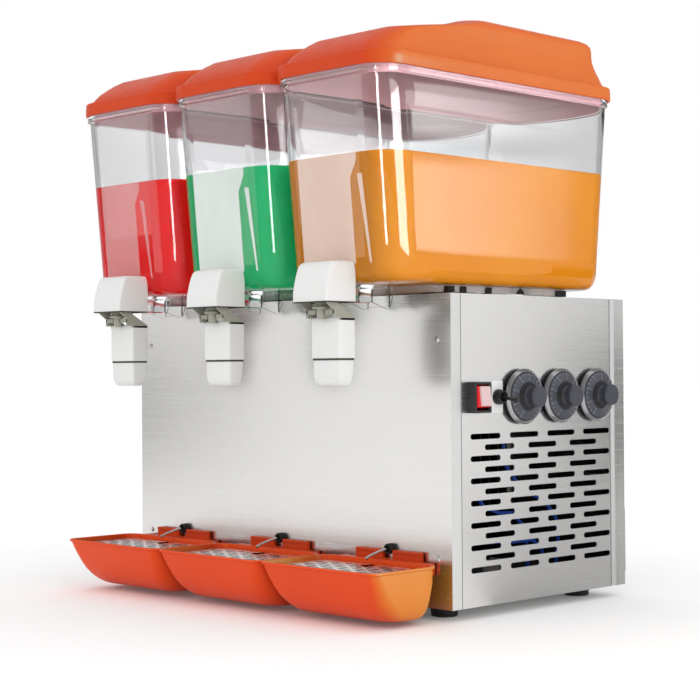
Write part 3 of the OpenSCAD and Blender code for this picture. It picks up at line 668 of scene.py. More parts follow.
def make_lid(i):
    """Domed lid with its band, and inside it the lip and a paler lining that glows as painted light."""
    x = unit_x(i)

    def outline(row, inset, z):
        return section(x, FRONT, row, RIM_Z + z, inset)

    def crown(r, z):
        return circle_like(outer[-1], x, FRONT + CROWN_Y, r, RIM_Z + z)

    def under(h, wall):
        """Ring under the dome; the steep sides are thinned sideways only, the top downwards too."""
        return lid_ring(x, h, wall, -wall if h > 30 else 0)

    outer = [
        outline(BAND, inset, z)
        for inset, z in (
            (1.8, 0), (0.3, 0.5), (0, 1.8), (0.2, 9), (0.6, 15.5), (1.4, 17.2), (3, BAND_HEIGHT),
            (5.8, BAND_HEIGHT),
        )
    ]
    heights = [row[0] for row in DOME]
    outer += [lid_ring(x, h) for h in heights]
    top = [crown(24, CROWN_Z), crown(0.5, CROWN_Z + 0.1)]
    inner = [crown(0.5, CROWN_Z - LID_WALL)]
    inner += [under(h, LID_WALL) for h in reversed(heights[1:])]
    inner += [outline(BAND, inset, z) for inset, z in ((10.6, 15.4), (4.2, 14.6), (3.2, 13.4), (3.2, 0.6))]
    shape = Shape()
    outside = shape.loft(outer + top, capped=False)
    inside = shape.loft(inner, capped=False)
    shape.faces += [tuple(outside[-1]), tuple(inside[0])]
    shape.join(inside[-1], outside[0])
    piece(f"lid_shell_{i}", shape, shell_look, f"lid_{i}", [f"lid_{i}"], sharp=38)
    # painted light: the lining and lip are paler and glow a little, standing in for light that comes through
    # the moulding
    lining = Shape()
    skins = []
    for extra in (0.4, 1.0):
        skin = [outline(LIP, 2.4 + extra, 14.4)]
        skin += [under(h, LID_WALL + extra) for h in heights[1:]]
        skins.append(skin + [crown(0.5, CROWN_Z - LID_WALL - extra)])
    lining.loft(skins[0] + list(reversed(skins[1])), looped=True)
    # locating lip that drops inside the tank
    lip = [
        outline(LIP, inset, z)
        for inset, z in ((0, 14.5), (0, -6.5), (0.6, -8), (1.9, -8), (2.5, -6.5), (2.5, 14.5))
    ]
    lining.loft(lip, looped=True)
    piece(f"lid_lining_{i}", lining, glow_lining_look, f"lid_{i}", sharp=38)


# How far across each flat front the painted reflection reaches on the right
VEIL_RIGHT = {1: 17, 2: 32, 3: 33}


def make_reflection_veil(i):
    """Painted reflection of a pale softbox, as a film on the flat front of the tank, from above the floor's
    curve to the drink's surface.
    """
    x = unit_x(i)
    low, high = 23, DRINK_DEPTH - 0.5
    left, right = -57, VEIL_RIGHT[i]
    sheet = ((left, low), (right, low), (right, DRINK_DEPTH - 30), (right + 12, DRINK_DEPTH - 10),
             (right + 12, high), (left, high))
    # narrow painted wedge of the reflection beside the sheet
    wedge_top = DRINK_DEPTH - 26
    run = ((right + 24, low), (right + 27, low), (right + 20, wedge_top), (right + 12, wedge_top))
    shape = Shape()
    for outline in (sheet, run):
        shape.loft([
            [(x + across, FRONT + mixed(TANK_LEVELS, h)[1] - proud, FLOOR_Z + h) for across, h in outline]
            for proud in (0.95, 1.15)
        ])
    piece(f"tank_reflection_veil_{i}", shape, reflection_veil_looks[i], f"tank_{i}")


def make_pads(i):
    """Black rubber pads between the tank and the top of the cabinet."""
    shape = Shape()
    for x in (unit_x(i) - 70, unit_x(i) + 70):
        for y, length in ((26, 12), (48, 12), (96, 12), (236, 22)):
            shape.box(x - 5, x + 5, FRONT + y, FRONT + y + length, FLOOR_Z - 9.6, FLOOR_Z - 1.5)
    piece(f"tank_pads_{i}", shape, rubber_look, f"tank_{i}", bevel=0.6)


for i in UNITS:
    make_tank(i)
    make_outlet(i)
    make_drink(i)
    make_reflection_veil(i)
    make_pads(i)
    make_lid(i)


# ---------- taps ----------

# Height above the cover's bottom, half width, front, back, front radius, back radius
COVER = [
    (0, 29.7, -131.7, -82.6, 3.0, 1.5), (0.6, 30, -132, -82.4, 3.2, 1.5), (8, 30, -132, -82.4, 3.2, 1.5),
    (14, 30, -131.6, -82.4, 3.2, 1.5), (22, 30, -129.8, -82.4, 3.2, 1.5), (31, 30, -127.4, -82.4, 3.2, 1.5),
    (38, 29.9, -125.2, -82.6, 3.4, 1.5), (43, 29.7, -123.2, -82.8, 3.6, 1.8),
    (46, 29.2, -121.2, -83.2, 3.8, 2), (47.8, 28.4, -118.6, -84, 4, 2.4), (48.7, 27.4, -115.6, -85, 4, 2.8),
    (49, 26, -112, -86.4, 3.6, 3),
]
HINGE_Y, HINGE_Z = TAP_PLANE - 124, TAP_Z + 5
SPOUT_Y = TAP_PLANE - 112
LEVER_TOP = TAP_Z - 18
LEVER_BOTTOM = 286
GROOVE = 319


def make_tap(i):
    """Tap cover, valve block, lever and plunger."""
    x = unit_x(i)
    tank = f"tank_{i}"

    def cover_ring(row, inset=0.0, lift=0.0):
        h, half, front, back, *radii = row
        # the inner corners stay a little round
        radii = [max(r, inset + 0.6) for r in radii]
        return section(x, TAP_PLANE, (half, front, back, *radii), TAP_Z + h + lift, inset, corner=6, edge=4)

    outer = [cover_ring(row) for row in COVER]
    inner = [cover_ring(row, 2.5, -2.4 if row[0] > 40 else 0) for row in COVER if 0.5 < row[0] < 47.5]
    shape = Shape()
    shape.loft(list(reversed(inner)) + outer)
    # valve block and its hinge pin
    barrel = Shape()
    barrel.loft([
        rounded(x - w, x + w, TAP_PLANE - 122 + d, TAP_PLANE - 85, 5, 1, TAP_Z + h, corner=5, edge=2)
        for w, d, h in ((11, 1, 1), (12, 0, 2), (12, 0, 20), (11, 1, 21))
    ])
    barrel.lathe([(9.2, -1.5), (10.2, -1.0), (10.2, 2.2), (9.2, 2.6)], (x, SPOUT_Y, TAP_Z + 0.6))
    barrel.lathe([(2.5, -28), (2.5, 28)], (x, HINGE_Y, HINGE_Z), axis="X", steps=20)
    for s in (-1, 1):
        barrel.lathe([(3.4, 26.6), (3.4, 28.2), (2.6, 28.8)], (x, HINGE_Y, HINGE_Z), axis="X", steps=20)
    barrel.lathe([(2.5, -88), (3.95, -88), (3.95, -76), (2.5, -76)], (x, TAP_PLANE, TAP_Z + 7), axis="Y",
                 steps=24, looped=True)
    piece(f"tap_cover_{i}", shape, white_look, tank, [f"tap_body_{i}"], sharp=42)
    # painted shade: a dark band round the bottom of the cover, for the shadow under its edge
    rim = Shape()
    first = COVER[1]
    band = ((-0.15, 0), (-0.15, -1.5), (2.2, -1.5), (2.2, 0))
    rim.loft([cover_ring(first, inset, lift) for inset, lift in band], looped=True)
    piece(f"cover_rim_{i}", rim, painted_shade_look, tank, sharp=40)
    # painted shade: the valve block and its pin are dark for the shadow under the cover
    piece(f"tap_barrel_{i}", barrel, valve_painted_shade_look, tank, bevel=0.3)
    make_lever(i, x)
    make_plunger(i, x)


def make_lever(i, x):
    """Push lever: two cheeks that hang from the hinge, a paddle, a groove and a tip; the cheeks and the
    groove are painted darker as shade.
    """
    body = f"tap_lever_{i}"
    face, rear = TAP_PLANE - 106, TAP_PLANE - 80

    def channel(half, front, back, wall, r, z):
        """Open-backed channel section: out along the outside, back along the inside."""
        def skin(inset, radius):
            """One skin, from its left end round both front corners to its right end."""
            left, nose = x - half + inset, front + inset
            turns = [math.radians(22.5 * k) for k in range(5)]
            side = [(left, back)]
            side += [(left + radius * (1 - math.cos(a)), nose + radius * (1 - math.sin(a))) for a in turns]
            return side + [(2 * x - px, py) for px, py in reversed(side)]

        return [(px, py, z) for px, py in skin(0, r) + skin(wall, max(r - wall, 0.5))[::-1]]

    upper = Shape()
    rows = [(25, 0.6, 2.5, 2.4, GROOVE + 0.8), (25, 0, 2.5, 3, GROOVE + 2), (25, 0, 2.5, 3, LEVER_TOP - 8),
            (25, 0, 2.5, 3, LEVER_TOP - 1.2), (24.4, 0.8, 2.5, 2.6, LEVER_TOP)]
    upper.loft([channel(h, face + d, rear, w, r, z) for h, d, w, r, z in rows])
    upper.slab(oblong(x - 24.4, x + 24.4, face + 0.8, face + 20, 2.5), LEVER_TOP - 2.6, LEVER_TOP)
    cheeks = Shape()
    for s in (-1, 1):
        cheek = [
            (rear, LEVER_TOP - 4), (rear, LEVER_TOP), (TAP_PLANE - 104, LEVER_TOP + 14),
            (TAP_PLANE - 118.5, TAP_Z + 9), (TAP_PLANE - 121, TAP_Z + 9.8), (TAP_PLANE - 124, TAP_Z + 10),
            (TAP_PLANE - 127.2, TAP_Z + 8.6), (TAP_PLANE - 129, TAP_Z + 5), (TAP_PLANE - 128, TAP_Z + 2),
            (TAP_PLANE - 125, TAP_Z - 2), (face + 0.6, LEVER_TOP + 2), (face + 0.6, LEVER_TOP - 4),
        ]
        cheeks.slab(cheek, x + s * 23.75 - 1.25, x + s * 23.75 + 1.25, axis="X")
        for cx, half, rib_back, rib_low in ((x + s * 16.5, 8, -110, 3.4), (x + s * 23, 1.6, -104, -1)):
            cheeks.box(cx - half, cx + half, TAP_PLANE - 114, TAP_PLANE + rib_back,
                       LEVER_TOP + rib_low, LEVER_TOP + 9)
    # painted shade: the cheeks are grey for the shadow under the cover
    piece(f"lever_cheeks_{i}", cheeks, cheek_painted_shade_look, body, sharp=40, bevel=0.4)
    piece(f"lever_paddle_{i}", upper, white_look, body, [f"tap_lever_{i}"],
          sharp=40, bevel=0.5)

    lower = Shape()
    rows = [
        (23.6, 1.8, -1.2, 2.4, 3, GROOVE - 0.8), (23.8, 1.6, -1.2, 2.4, 3, GROOVE - 2.2),
        (23.6, 1.8, -2.5, 2.4, 3, LEVER_BOTTOM + 14), (22.9, 2.8, -4.5, 2.4, 3.4, LEVER_BOTTOM + 6),
        (21.4, 4.8, -6.5, 2.4, 4, LEVER_BOTTOM + 1.6), (19.4, 7.2, -8.0, 2.4, 4, LEVER_BOTTOM),
    ]
    lower.loft([channel(h, face + d, rear + b, w, r, z) for h, d, b, w, r, z in reversed(rows)])
    lower.slab(oblong(x - 19, x + 19, face + 7.4, rear - 8.4, 3), LEVER_BOTTOM, LEVER_BOTTOM + 2.2)
    piece(f"lever_tip_{i}", lower, white_look, body, sharp=40, bevel=0.4)

    # painted shade: the groove is near black for the shadow in it
    groove = Shape()
    groove.loft([channel(24.2, face + 1.0, rear - 0.6, 1.8, 3, z) for z in (GROOVE - 1.6, GROOVE + 1.6)])
    piece(f"lever_groove_{i}", groove, painted_shade_look, body, bevel=0.2)


def make_plunger(i, x):
    """Sliding plunger whose lower end is the spout."""
    centre = (x, SPOUT_Y, TAP_Z)
    shape = Shape()
    shape.lathe([
        (3.5, -20), (4.9, -20), (5.5, -19.2), (5.5, -9), (7, -8.4), (10.4, -8), (11, -7.4), (11, -5.6),
        (10.4, -5), (8.4, -4.8), (7.95, -4.2), (7.95, 1.2), (7.3, 1.6), (7.3, 3.0), (7.95, 3.4),
        (7.95, 13.8), (7.0, 15), (3.5, 15), (3.5, 4), (3.5, -10),
    ], centre, looped=True)
    # painted shade: the plunger is grey for the shadow under the cover
    piece(f"spout_plunger_{i}", shape, cheek_painted_shade_look, f"tap_plunger_{i}",
          [f"tap_plunger_{i}"], sharp=40)
    seal = Shape()
    seal.lathe([(7.2, 1.7), (8.0, 1.9), (8.0, 2.7), (7.2, 2.9)], centre, looped=True)
    piece(f"plunger_seal_{i}", seal, rubber_look, f"tap_plunger_{i}")


for i in UNITS:
    make_tap(i)


# ---------- drip trays ----------

# Height, half width, front, back, front radius, back radius
TRAY = [
    (7, 80, -82, -31, 22, 18), (7.6, 83, -86, -28, 24, 20), (10, 87, -93, -25.4, 26, 21),
    (15, 91, -102, -23, 28, 22), (22, 93.8, -109.6, -21.8, 26, 22), (30, 96, -116, -21, 24, 22),
    (40, 97.4, -121.6, -20.4, 21, 21), (50, 98.5, -126, -20, 18, 20), (60, 99.1, -130, -20, 15, 20),
    (68, 99.4, -133, -20, 13.4, 20), (71, 99.5, -134, -20, 13, 20),
]
TRAY_RIM = (101, -135.5, -18, 15, 20)
PEG_Z = 63


def make_tray(i):
    """Drip tray with the posts that hold its grate, its hanging tab and the ears that fit the pegs."""
    x = unit_x(i)
    body = f"drip_tray_{i}"

    def ring(h, inset=0.0, grow=0.0):
        row = [a + (b - a) * grow for a, b in zip(mixed(TRAY, h), TRAY_RIM)]
        return section(x, FRONT, row, h, inset, corner=12)

    outer = [ring(row[0]) for row in TRAY if row[0] < 67]
    bead = ((67.2, 0), (67.8, 0.6), (68.4, 0.95), (69.4, 1), (70.5, 0.95), (71, 0.6))
    outer += [ring(h, grow=g) for h, g in bead]
    thickness = ((70.9, 1.6), (70.2, 2.4), (66, 2.5), (50, 2.5), (30, 2.5), (17, 2.5), (12.4, 3.4), (9.6, 6))
    inner = [ring(h, wall) for h, wall in thickness]
    shape = Shape()
    shape.loft(outer + inner)
    piece(f"tray_shell_{i}", shape, shell_look, body, [f"drip_tray_{i}"], sharp=40)

    fittings = Shape()
    for px in (-58, 58):
        for y in (-76, -42):
            fittings.loft([
                rounded(px - w, px + w, y - d, y + d, 1.2, 1.2, z, corner=3, edge=1)
                for w, d, z in ((4.6, 3.6, 8), (4, 3, 20), (3.8, 2.8, 63.4))
            ])
    # bridge to the hanging tab, and the notched tab with a bead along its top
    fittings.slab([(-75, -19), (75, -19), (75, -2), (-75, -2)], 68, 71)
    tab = [(-56.5, 60), (56.5, 60), (56.5, 80.4), (55, 82), (8, 82), (8, 71.5), (-8, 71.5), (-8, 82),
           (-55, 82), (-56.5, 80.4)]
    fittings.slab(tab, -7, -2, axis="Y")
    for x0 in (-56, 9):
        fittings.slab([(x0, 78.5), (x0 + 47, 78.5), (x0 + 47, 81), (x0, 81)], -8.2, -7, axis="Y")
    fittings.moved(Matrix.Translation(Vector((x, FRONT, 0))))
    piece(f"tray_fittings_{i}", fittings, shell_look, body, bevel=0.5)

    ears = Shape()
    for cx in (x - 66, x + 66):
        square = rounded(cx - 9, cx + 9, PEG_Z - 8, PEG_Z + 8, 3, 3, 0, corner=5, edge=2)
        hole = circle_like(square, cx, PEG_Z, 5.3, 0)
        ears.loft([
            [(p[0], FRONT + y, p[1]) for p in outline]
            for outline, y in ((hole, -7), (square, -7), (square, -2), (hole, -2))
        ], looped=True)
    piece(f"tray_ears_{i}", ears, shell_look, body, sharp=40)


for i in UNITS:
    make_tray(i)


# ---------- drain spouts ----------

SPOUT_Z = 83


def make_spouts():
    """Bent drain pipes above the trays, each in a rubber grommet."""
    grommets = Shape()
    pipes = Shape()
    bend = ((4, 0), (-4, 0), (-12, 0.6), (-24, 3.0), (-36, 6.0), (-45, 9))
    for i in UNITS:
        x = unit_x(i)
        grommets.lathe([
            (2.2, -1), (4.6, -8.2), (5.8, -8.2), (6.5, -7), (6.5, -4.6), (5.6, -3.6), (5.6, -2.4),
            (6.6, -1.4), (6.6, 0), (3.9, 0), (3.9, 5), (2.2, 5),
        ], (x, FRONT, SPOUT_Z), axis="Y", steps=32, looped=True)
        pipes.tube([(x, FRONT + y, SPOUT_Z - drop) for y, drop in bend], 1.9, sides=14)
    piece("drain_grommets", grommets, rubber_look, "cabinet", ["drain_spouts"], sharp=40)
    piece("drain_pipes", pipes, bright_look, "cabinet")


make_spouts()


def make_filter():
    """Dark dust filter behind the slots of the rear panel."""
    low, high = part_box("rear_grille")
    x0, x1, y = low.x / MM + 15, high.x / MM - 15, low.y / MM - 5
    shape = Shape()
    shape.box(x0, x1, y - 2.5, y, 34, 108)
    pleats = 20
    for k in range(pleats):
        x = x0 + (x1 - x0) * (k + 0.5) / pleats
        shape.box(x - 2, x + 2, y - 3.6, y - 2.5, 35, 107)
    piece("rear_filter", shape, black_look, "cabinet", bevel=0.3)


make_filter()


# ---------- feet ----------


def make_feet():
    """Ringed rubber feet at the corners of the base."""
    shape = Shape()
    low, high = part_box("feet")
    foot = 18.5
    for x in (low.x / MM + foot, high.x / MM - foot):
        for y in (low.y / MM + foot, high.y / MM - foot):
            shape.lathe([
                (4, 3), (4, 0.8), (8, 0), (15.2, 0), (16.5, 1), (16.8, 3.6), (16.2, 4.2), (16.2, 5),
                (17.1, 5.6), (18.0, 11), (foot, 13.2), (foot, 15), (4, 15),
            ], (x, y, 0), steps=40, looped=True)
    piece("feet_pads", shape, rubber_look, "cabinet", ["feet"], sharp=35)


make_feet()


# ---------- controls on the right side ----------


MARKS = 24
DIGIT_STEP = 3
GRIP_RIBS = 20
RIB_PITCH = 3.2
RIB_CIRCLE = 12.2


def mark_angle(k):
    """Angle of mark number k from straight up: the scale covers 300 degrees."""
    return math.radians(-150 + 300 * k / (MARKS - 1))


def turn(across, out, a):
    """A point of a dial's face, turned by a from straight up."""
    return (across * math.cos(a) + out * math.sin(a), out * math.cos(a) - across * math.sin(a))


def make_dial(i):
    """Temperature dial: knob with a ribbed grip, bright rim, and a scale with digits."""
    _, y, z = middle(f"dial_{i}")
    body = f"dial_{i}"
    centre = (SIDE, y, z)
    knob = Shape()
    knob.lathe([
        (0, -18), (3, -18), (3, 2), (31, 2), (33.6, 3.2), (34.5, 5), (34.5, 6.4), (33.0, 8.4), (31.6, 9.4),
        (30.6, 9.0), (30.0, 10.2), (29.4, 11.2), (24, 12.4), (19.5, 13.0), (16.5, 14.0), (13.6, 16),
        (12.2, 18.6), (11.8, 21), (12.4, 25), (13.4, 28), (13.9, 30.4), (13.2, 32), (0, 32),
    ], centre, axis="X", steps=72)
    piece(f"dial_knob_{i}", knob, dial_look, body, [f"dial_{i}"], sharp=28)
    ring = Shape()
    ring.lathe([
        (31.7, 8.6), (33.0, 8.0), (34.3, 6.2), (34.9, 6.0), (34.9, 7.2), (33.4, 9.4), (32.0, 10.4),
        (31.2, 10.2),
    ], centre, axis="X", steps=72, looped=True)
    piece(f"dial_rim_{i}", ring, rim_look, body, sharp=30)
    # painted shade: a black ring round the foot of the knob, for its shadow on the dial face
    well = Shape()
    well.lathe([(12.6, 14), (18.2, 13.2), (18.2, 13.9), (13.2, 17.4)], centre, axis="X", looped=True)
    piece(f"dial_shade_ring_{i}", well, rubber_look, body, sharp=30)
    marks = Shape()
    for k in range(MARKS):
        a = mark_angle(k)
        long = k % DIGIT_STEP == 0
        inner_r = 25.4 if long else 26.8
        half = 0.42 if long else 0.3
        flat = ((-half, inner_r), (half, inner_r), (half, 28.8), (-half, 28.8))
        turned = [turn(p, q, a) for p, q in flat]
        base = [11.3 + (29.4 - math.hypot(*p)) * 0.2 for p in turned]
        marks.loft([
            [(SIDE + b + lift, y + p[0], z + p[1]) for p, b in zip(turned, base)] for lift in (-0.3, 0.35)
        ])
    for number in DIGITS:
        add_digit(marks, number, mark_angle(number * DIGIT_STEP), y, z)
    piece(f"dial_marks_{i}", marks, mark_look, body)
    grip = Shape()
    for k in range(GRIP_RIBS):
        a = 2 * math.pi * k / GRIP_RIBS
        c, s = math.cos(a), math.sin(a)
        path = [(SIDE + h, y + r * c, z + r * s) for h, r in ((18, 12.0), (21, 11.7), (25, 12.3), (29, 13.4))]
        grip.tube(path, [0.3, 0.75, 0.75, 0.4], sides=6)
    for k in range(-3, 4):
        rib = k * RIB_PITCH
        half = math.sqrt(RIB_CIRCLE ** 2 - rib ** 2)
        grip.box(SIDE + 31.6, SIDE + 32.5, y - half, y + half, z + rib - 0.8, z + rib + 0.8)
    piece(f"dial_grip_{i}", grip, dial_look, body)


# Strokes of the digits on a grid two wide and four high
DIGITS = {
    0: [[(0, 0), (2, 0), (2, 4), (0, 4), (0, 0)]],
    1: [[(0.4, 3.2), (1, 4), (1, 0)]],
    2: [[(0, 4), (2, 4), (2, 2), (0, 2), (0, 0), (2, 0)]],
    3: [[(0, 4), (2, 4), (2, 0), (0, 0)], [(0.4, 2), (2, 2)]],
    4: [[(0, 4), (0, 1.6), (2, 1.6)], [(1.5, 3), (1.5, 0)]],
    5: [[(2, 4), (0, 4), (0, 2.2), (2, 2.2), (2, 0), (0, 0)]],
    6: [[(2, 4), (0, 4), (0, 0), (2, 0), (2, 2), (0, 2)]],
    7: [[(0, 4), (2, 4), (0.8, 0)]],
}


def add_digit(shape, number, a, y, z):
    for stroke in DIGITS[number]:
        path = []
        for px, pz in stroke:
            out = pz - 2 + 22.2
            dy, dz = turn(px - 1, out, a)
            path.append((SIDE + 12.9 + (24 - out) * 0.14, y + dy, z + dz))
        shape.tube(path, 0.28, sides=6)


for i in UNITS:
    make_dial(i)


def make_rocker():
    """Lit rocker switch in its bezel."""
    _, y, z = middle("rocker_housing")
    bezel = Shape()
    bezel.loft([plate_ring(SIDE + out, y, z, *size) for out, *size in (
        (-12, 11.4, 15.4, 1), (-23, 12.5, 15.5, 1.2), (0, 12.5, 15.5, 1.2), (0, 15.5, 19, 2),
        (11.6, 15.5, 19, 2), (13, 14.8, 18.3, 1.6), (13, 12.4, 16.2, 1.2), (12, 11.6, 15.5, 1),
    )], looped=True)
    piece("rocker_bezel", bezel, black_look, "cabinet", ["rocker_housing"], sharp=35)

    tilt = Matrix.Translation(Vector((SIDE + 3, y, z))) @ Matrix.Rotation(math.radians(-7), 4, "Y")
    key = Shape()
    key.loft([plate_ring(out, 0, 0, half_y, half_z, 1.5) for out, half_y, half_z in (
        (-2, 10.8, 12.8), (-1, 11, 13), (10.5, 11, 13), (11.5, 10.4, 12.4)
    )])
    key.lathe([(1.5, -13), (1.5, 13)], (0, 0, 0), axis="Y", steps=16)
    piece("rocker_key", key.moved(tilt), red_look, "power_rocker", ["power_rocker"], sharp=40)
    face = Shape()
    face.loft([plate_ring(out, 1.4, 0, half_y, half_z, 1.2) for out, half_y, half_z in (
        (11.2, 9.0, 12.2), (13.4, 9.0, 12.2), (14.2, 8.4, 11.6)
    )])
    piece("rocker_face", face.moved(tilt), frost_look, "power_rocker", sharp=40)


red_look = plastic("red_lens_look", (0.72, 0.015, 0.02), roughness=0.14, mottle=0.1,
                   Emission_Color=(0.8, 0.02, 0.02), Emission_Strength=0.12)
frost_look = plastic("rocker_face_look", (0.74, 0.52, 0.53), roughness=0.2, mottle=0.12)
make_rocker()


def make_side_strips():
    """Pale return flanges of the front and rear sheets on the right side, with dark seams."""
    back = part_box("right_side_panel")[1].y / MM
    flange_end = FRONT + 17.2
    flange_start = back - 14.5
    flanges = Shape()
    for y0, y1 in ((FRONT + 0.3, flange_end), (flange_start, back - 6)):
        flanges.box(SIDE - 0.6, SIDE + 0.25, y0, y1, SHEET_BOTTOM, TOP - 1)
    piece("side_flanges", flanges, return_look, "cabinet", bevel=0.2)
    seams = Shape()
    for y0, y1 in ((flange_end, FRONT + 18.6), (back - 16.2, flange_start)):
        seams.box(SIDE - 0.6, SIDE + 0.2, y0, y1, SHEET_BOTTOM, TOP - 1)
    piece("side_seams", seams, seam_look, "cabinet")


make_side_strips()


def make_toggle():
    """Small toggle switch with its plate and ribbed boot."""
    _, y, z = middle("toggle_housing")
    plate = Shape()
    plate.loft([
        plate_ring(SIDE + out, y, z, 10.5 - inset, 20 - inset, 1.5)
        for out, inset in ((0.05, 0), (1.1, 0), (1.5, 0.5))
    ])
    piece("toggle_plate", plate, white_look, "cabinet", sharp=35)
    boot = Shape()
    boot.lathe([
        (4.5, 7), (6.5, 12), (7.4, 12), (8, 11.2), (7.6, 9.8), (8.2, 8.8), (7.8, 7.8), (8.6, 6.8), (8.2, 5.9),
        (9.5, 5.6), (9.5, 1.5), (4, 1.5), (4, -6), (3, -6),
    ], (SIDE, y, z), axis="X", steps=40, looped=True)
    boot.box(SIDE - 22, SIDE - 6, y - 7, y + 7, z - 12, z + 12)
    piece("toggle_boot", boot, black_look, "cabinet", ["toggle_housing"], sharp=35)
    stick = Shape()
    stick.lathe([
        (0, -2.4), (1.8, -1.6), (2.4, 0), (2.2, 1.6), (2.2, 17), (2.9, 18.4), (3.1, 21), (3.0, 24),
        (2.2, 25), (0, 25.2),
    ], (0, 0, 0), axis="X", steps=24)
    swing = Matrix.Translation(Vector((SIDE + 9.5, y, z))) @ Matrix.Rotation(math.radians(10), 4, "Y")
    piece("toggle_stick", stick.moved(swing), black_look, "pump_toggle", ["pump_toggle"],
          sharp=40)


make_toggle()


# ---------- surroundings ----------


def stage_sheet(name, corners, look):
    """A flat four-cornered mesh that belongs to the surroundings."""
    mesh = bpy.data.meshes.new(name)
    mesh.from_pydata(corners, [], [(0, 1, 2, 3)])
    mesh.materials.append(look)
    made = bpy.data.objects.new(name, mesh)
    bpy.context.scene.collection.objects.link(made)
    return made


def make_floor():
    """Pale floor that glows a little more with distance, so that it meets the backdrop without a line."""
    finish = Finish("floor_look", Roughness=0.85, Specular_IOR_Level=0.1)
    finish.mottle(finish.noise(2), (0.93,) * 3, (0.95,) * 3)
    distance = finish.add("ShaderNodeVectorMath", Vector=finish.place)
    distance.operation = "LENGTH"
    finish.bsdf.inputs["Emission Color"].default_value = (1, 1, 1, 1)
    finish.drive("Emission Strength", finish.span(distance.outputs["Value"], 0.05, 0.12, start=0.4, end=2.4))
    half = 14
    corners = [(-half, -half, 0), (half, -half, 0), (half, half, 0), (-half, half, 0)]
    stage_sheet("floor", corners, finish.material)


def fade_lamp(lamp):
    """Lets a lamp fade across its width, and softly at its lower and upper edges."""
    lamp.use_nodes = True
    graph = Graph(lamp.node_tree)
    spot = graph.add("ShaderNodeNewGeometry").outputs["Parametric"]
    place = graph.add("ShaderNodeSeparateXYZ", Vector=spot).outputs
    across = graph.span(place["X"], 1.0, 0.02, start=0.10, end=0.80, smooth=True)
    from_middle = graph.count("ABSOLUTE", graph.count("SUBTRACT", place["Y"], 0.5))
    upright = graph.span(from_middle, 1.0, 0.0, start=0.36, end=0.5, smooth=True)
    graph.feed(graph.tree.nodes["Emission"].inputs["Strength"], graph.count("MULTIPLY", across, upright))


def softbox(name, place, target, width, height, radiance, mirrored=True, fade=False, only=(), colour=None):
    """A rectangular lamp that faces target; only names the pieces it lights, if not all.

    A lamp that isn't mirrored lights surfaces without showing in them.
    """
    lamp = bpy.data.lights.new(name, "AREA")
    lamp.shape = "RECTANGLE"
    lamp.size = width
    lamp.size_y = height
    lamp.energy = radiance * math.pi * width * height
    made = bpy.data.objects.new(name, lamp)
    bpy.context.scene.collection.objects.link(made)
    made.location = place
    made.rotation_euler = (Vector(target) - Vector(place)).to_track_quat("-Z", "Y").to_euler()
    made.visible_camera = False
    made.visible_glossy = mirrored
    if colour is not None:
        lamp.color = colour
    if fade:
        fade_lamp(lamp)
    if only:
        lit = bpy.data.collections.new(name + "_lit")
        for piece_name in only:
            lit.objects.link(bpy.data.objects[piece_name])
        made.light_linking.receiver_collection = lit


# Brightness of the studio as shiny surfaces mirror it: bearing in degrees from +X, brightness
STUDIO = (
    (-180, 0.70), (-160, 0.55), (-147, 0.60), (-139, 1.15), (-130, 0.90), (-108, 0.80), (-83, 0.46),
    (-45, 0.36), (0, 0.50), (30, 1.10), (50, 1.10), (57, 0.45), (75, 0.30), (110, 0.50), (180, 0.70),
)
# Brightness of the backdrop seen through the clear plastic, by bearing
BACKDROP = (
    (-180, 0.50), (60, 0.60), (105, 0.35), (118, 0.40), (126, 0.66), (130, 0.60), (133, 0.70),
    (137, 0.72), (139, 0.72), (141, 0.72), (144, 0.56), (150, 0.50), (158, 0.25), (180, 0.50),
)
STUDIO_PEAK = 1.35


CARD_TOP = 0.41
LIFT = 0.002


def make_cards():
    """Cards that only show where the steel mirrors them, so that each sheet darkens towards one end."""
    for name, start, end, level in (
        ("card_right", (1.56, 1.60), (1.1, 2.7), 0.03), ("card_left", (-2.45, -2.08), (-3.5, -1.5), 0.30),
    ):
        finish = Finish(name + "_look", Roughness=0.9, Specular_IOR_Level=0.1)
        axes = finish.add("ShaderNodeSeparateXYZ", Vector=finish.place)
        height = finish.span(axes.outputs["Z"], 0, 1, start=0.35, end=CARD_TOP)
        finish.drive("Base Color", finish.colours(height, (0.0, (level,) * 3), (1.0, (0.9,) * 3)))
        corners = [(*start, LIFT), (*end, LIFT), (*end, CARD_TOP), (*start, CARD_TOP)]
        card = stage_sheet(name, corners, finish.material)
        card.visible_camera = False
        card.visible_transmission = False
    # a grey sheet on the floor, for the low part of the right side panel
    finish = Finish("card_low_look", Roughness=0.9, Specular_IOR_Level=0.1)
    finish.mottle(finish.noise(3), (0.44,) * 3, (0.48,) * 3)
    corners = [(0.32, -0.08, 0.003), (1.5, 1.1, 0.003), (1.5, 1.7, 0.003), (0.32, 0.52, 0.003)]
    card = stage_sheet("card_low", corners, finish.material)
    card.visible_camera = False
    card.visible_transmission = False
    card.visible_diffuse = False
    card.visible_shadow = False


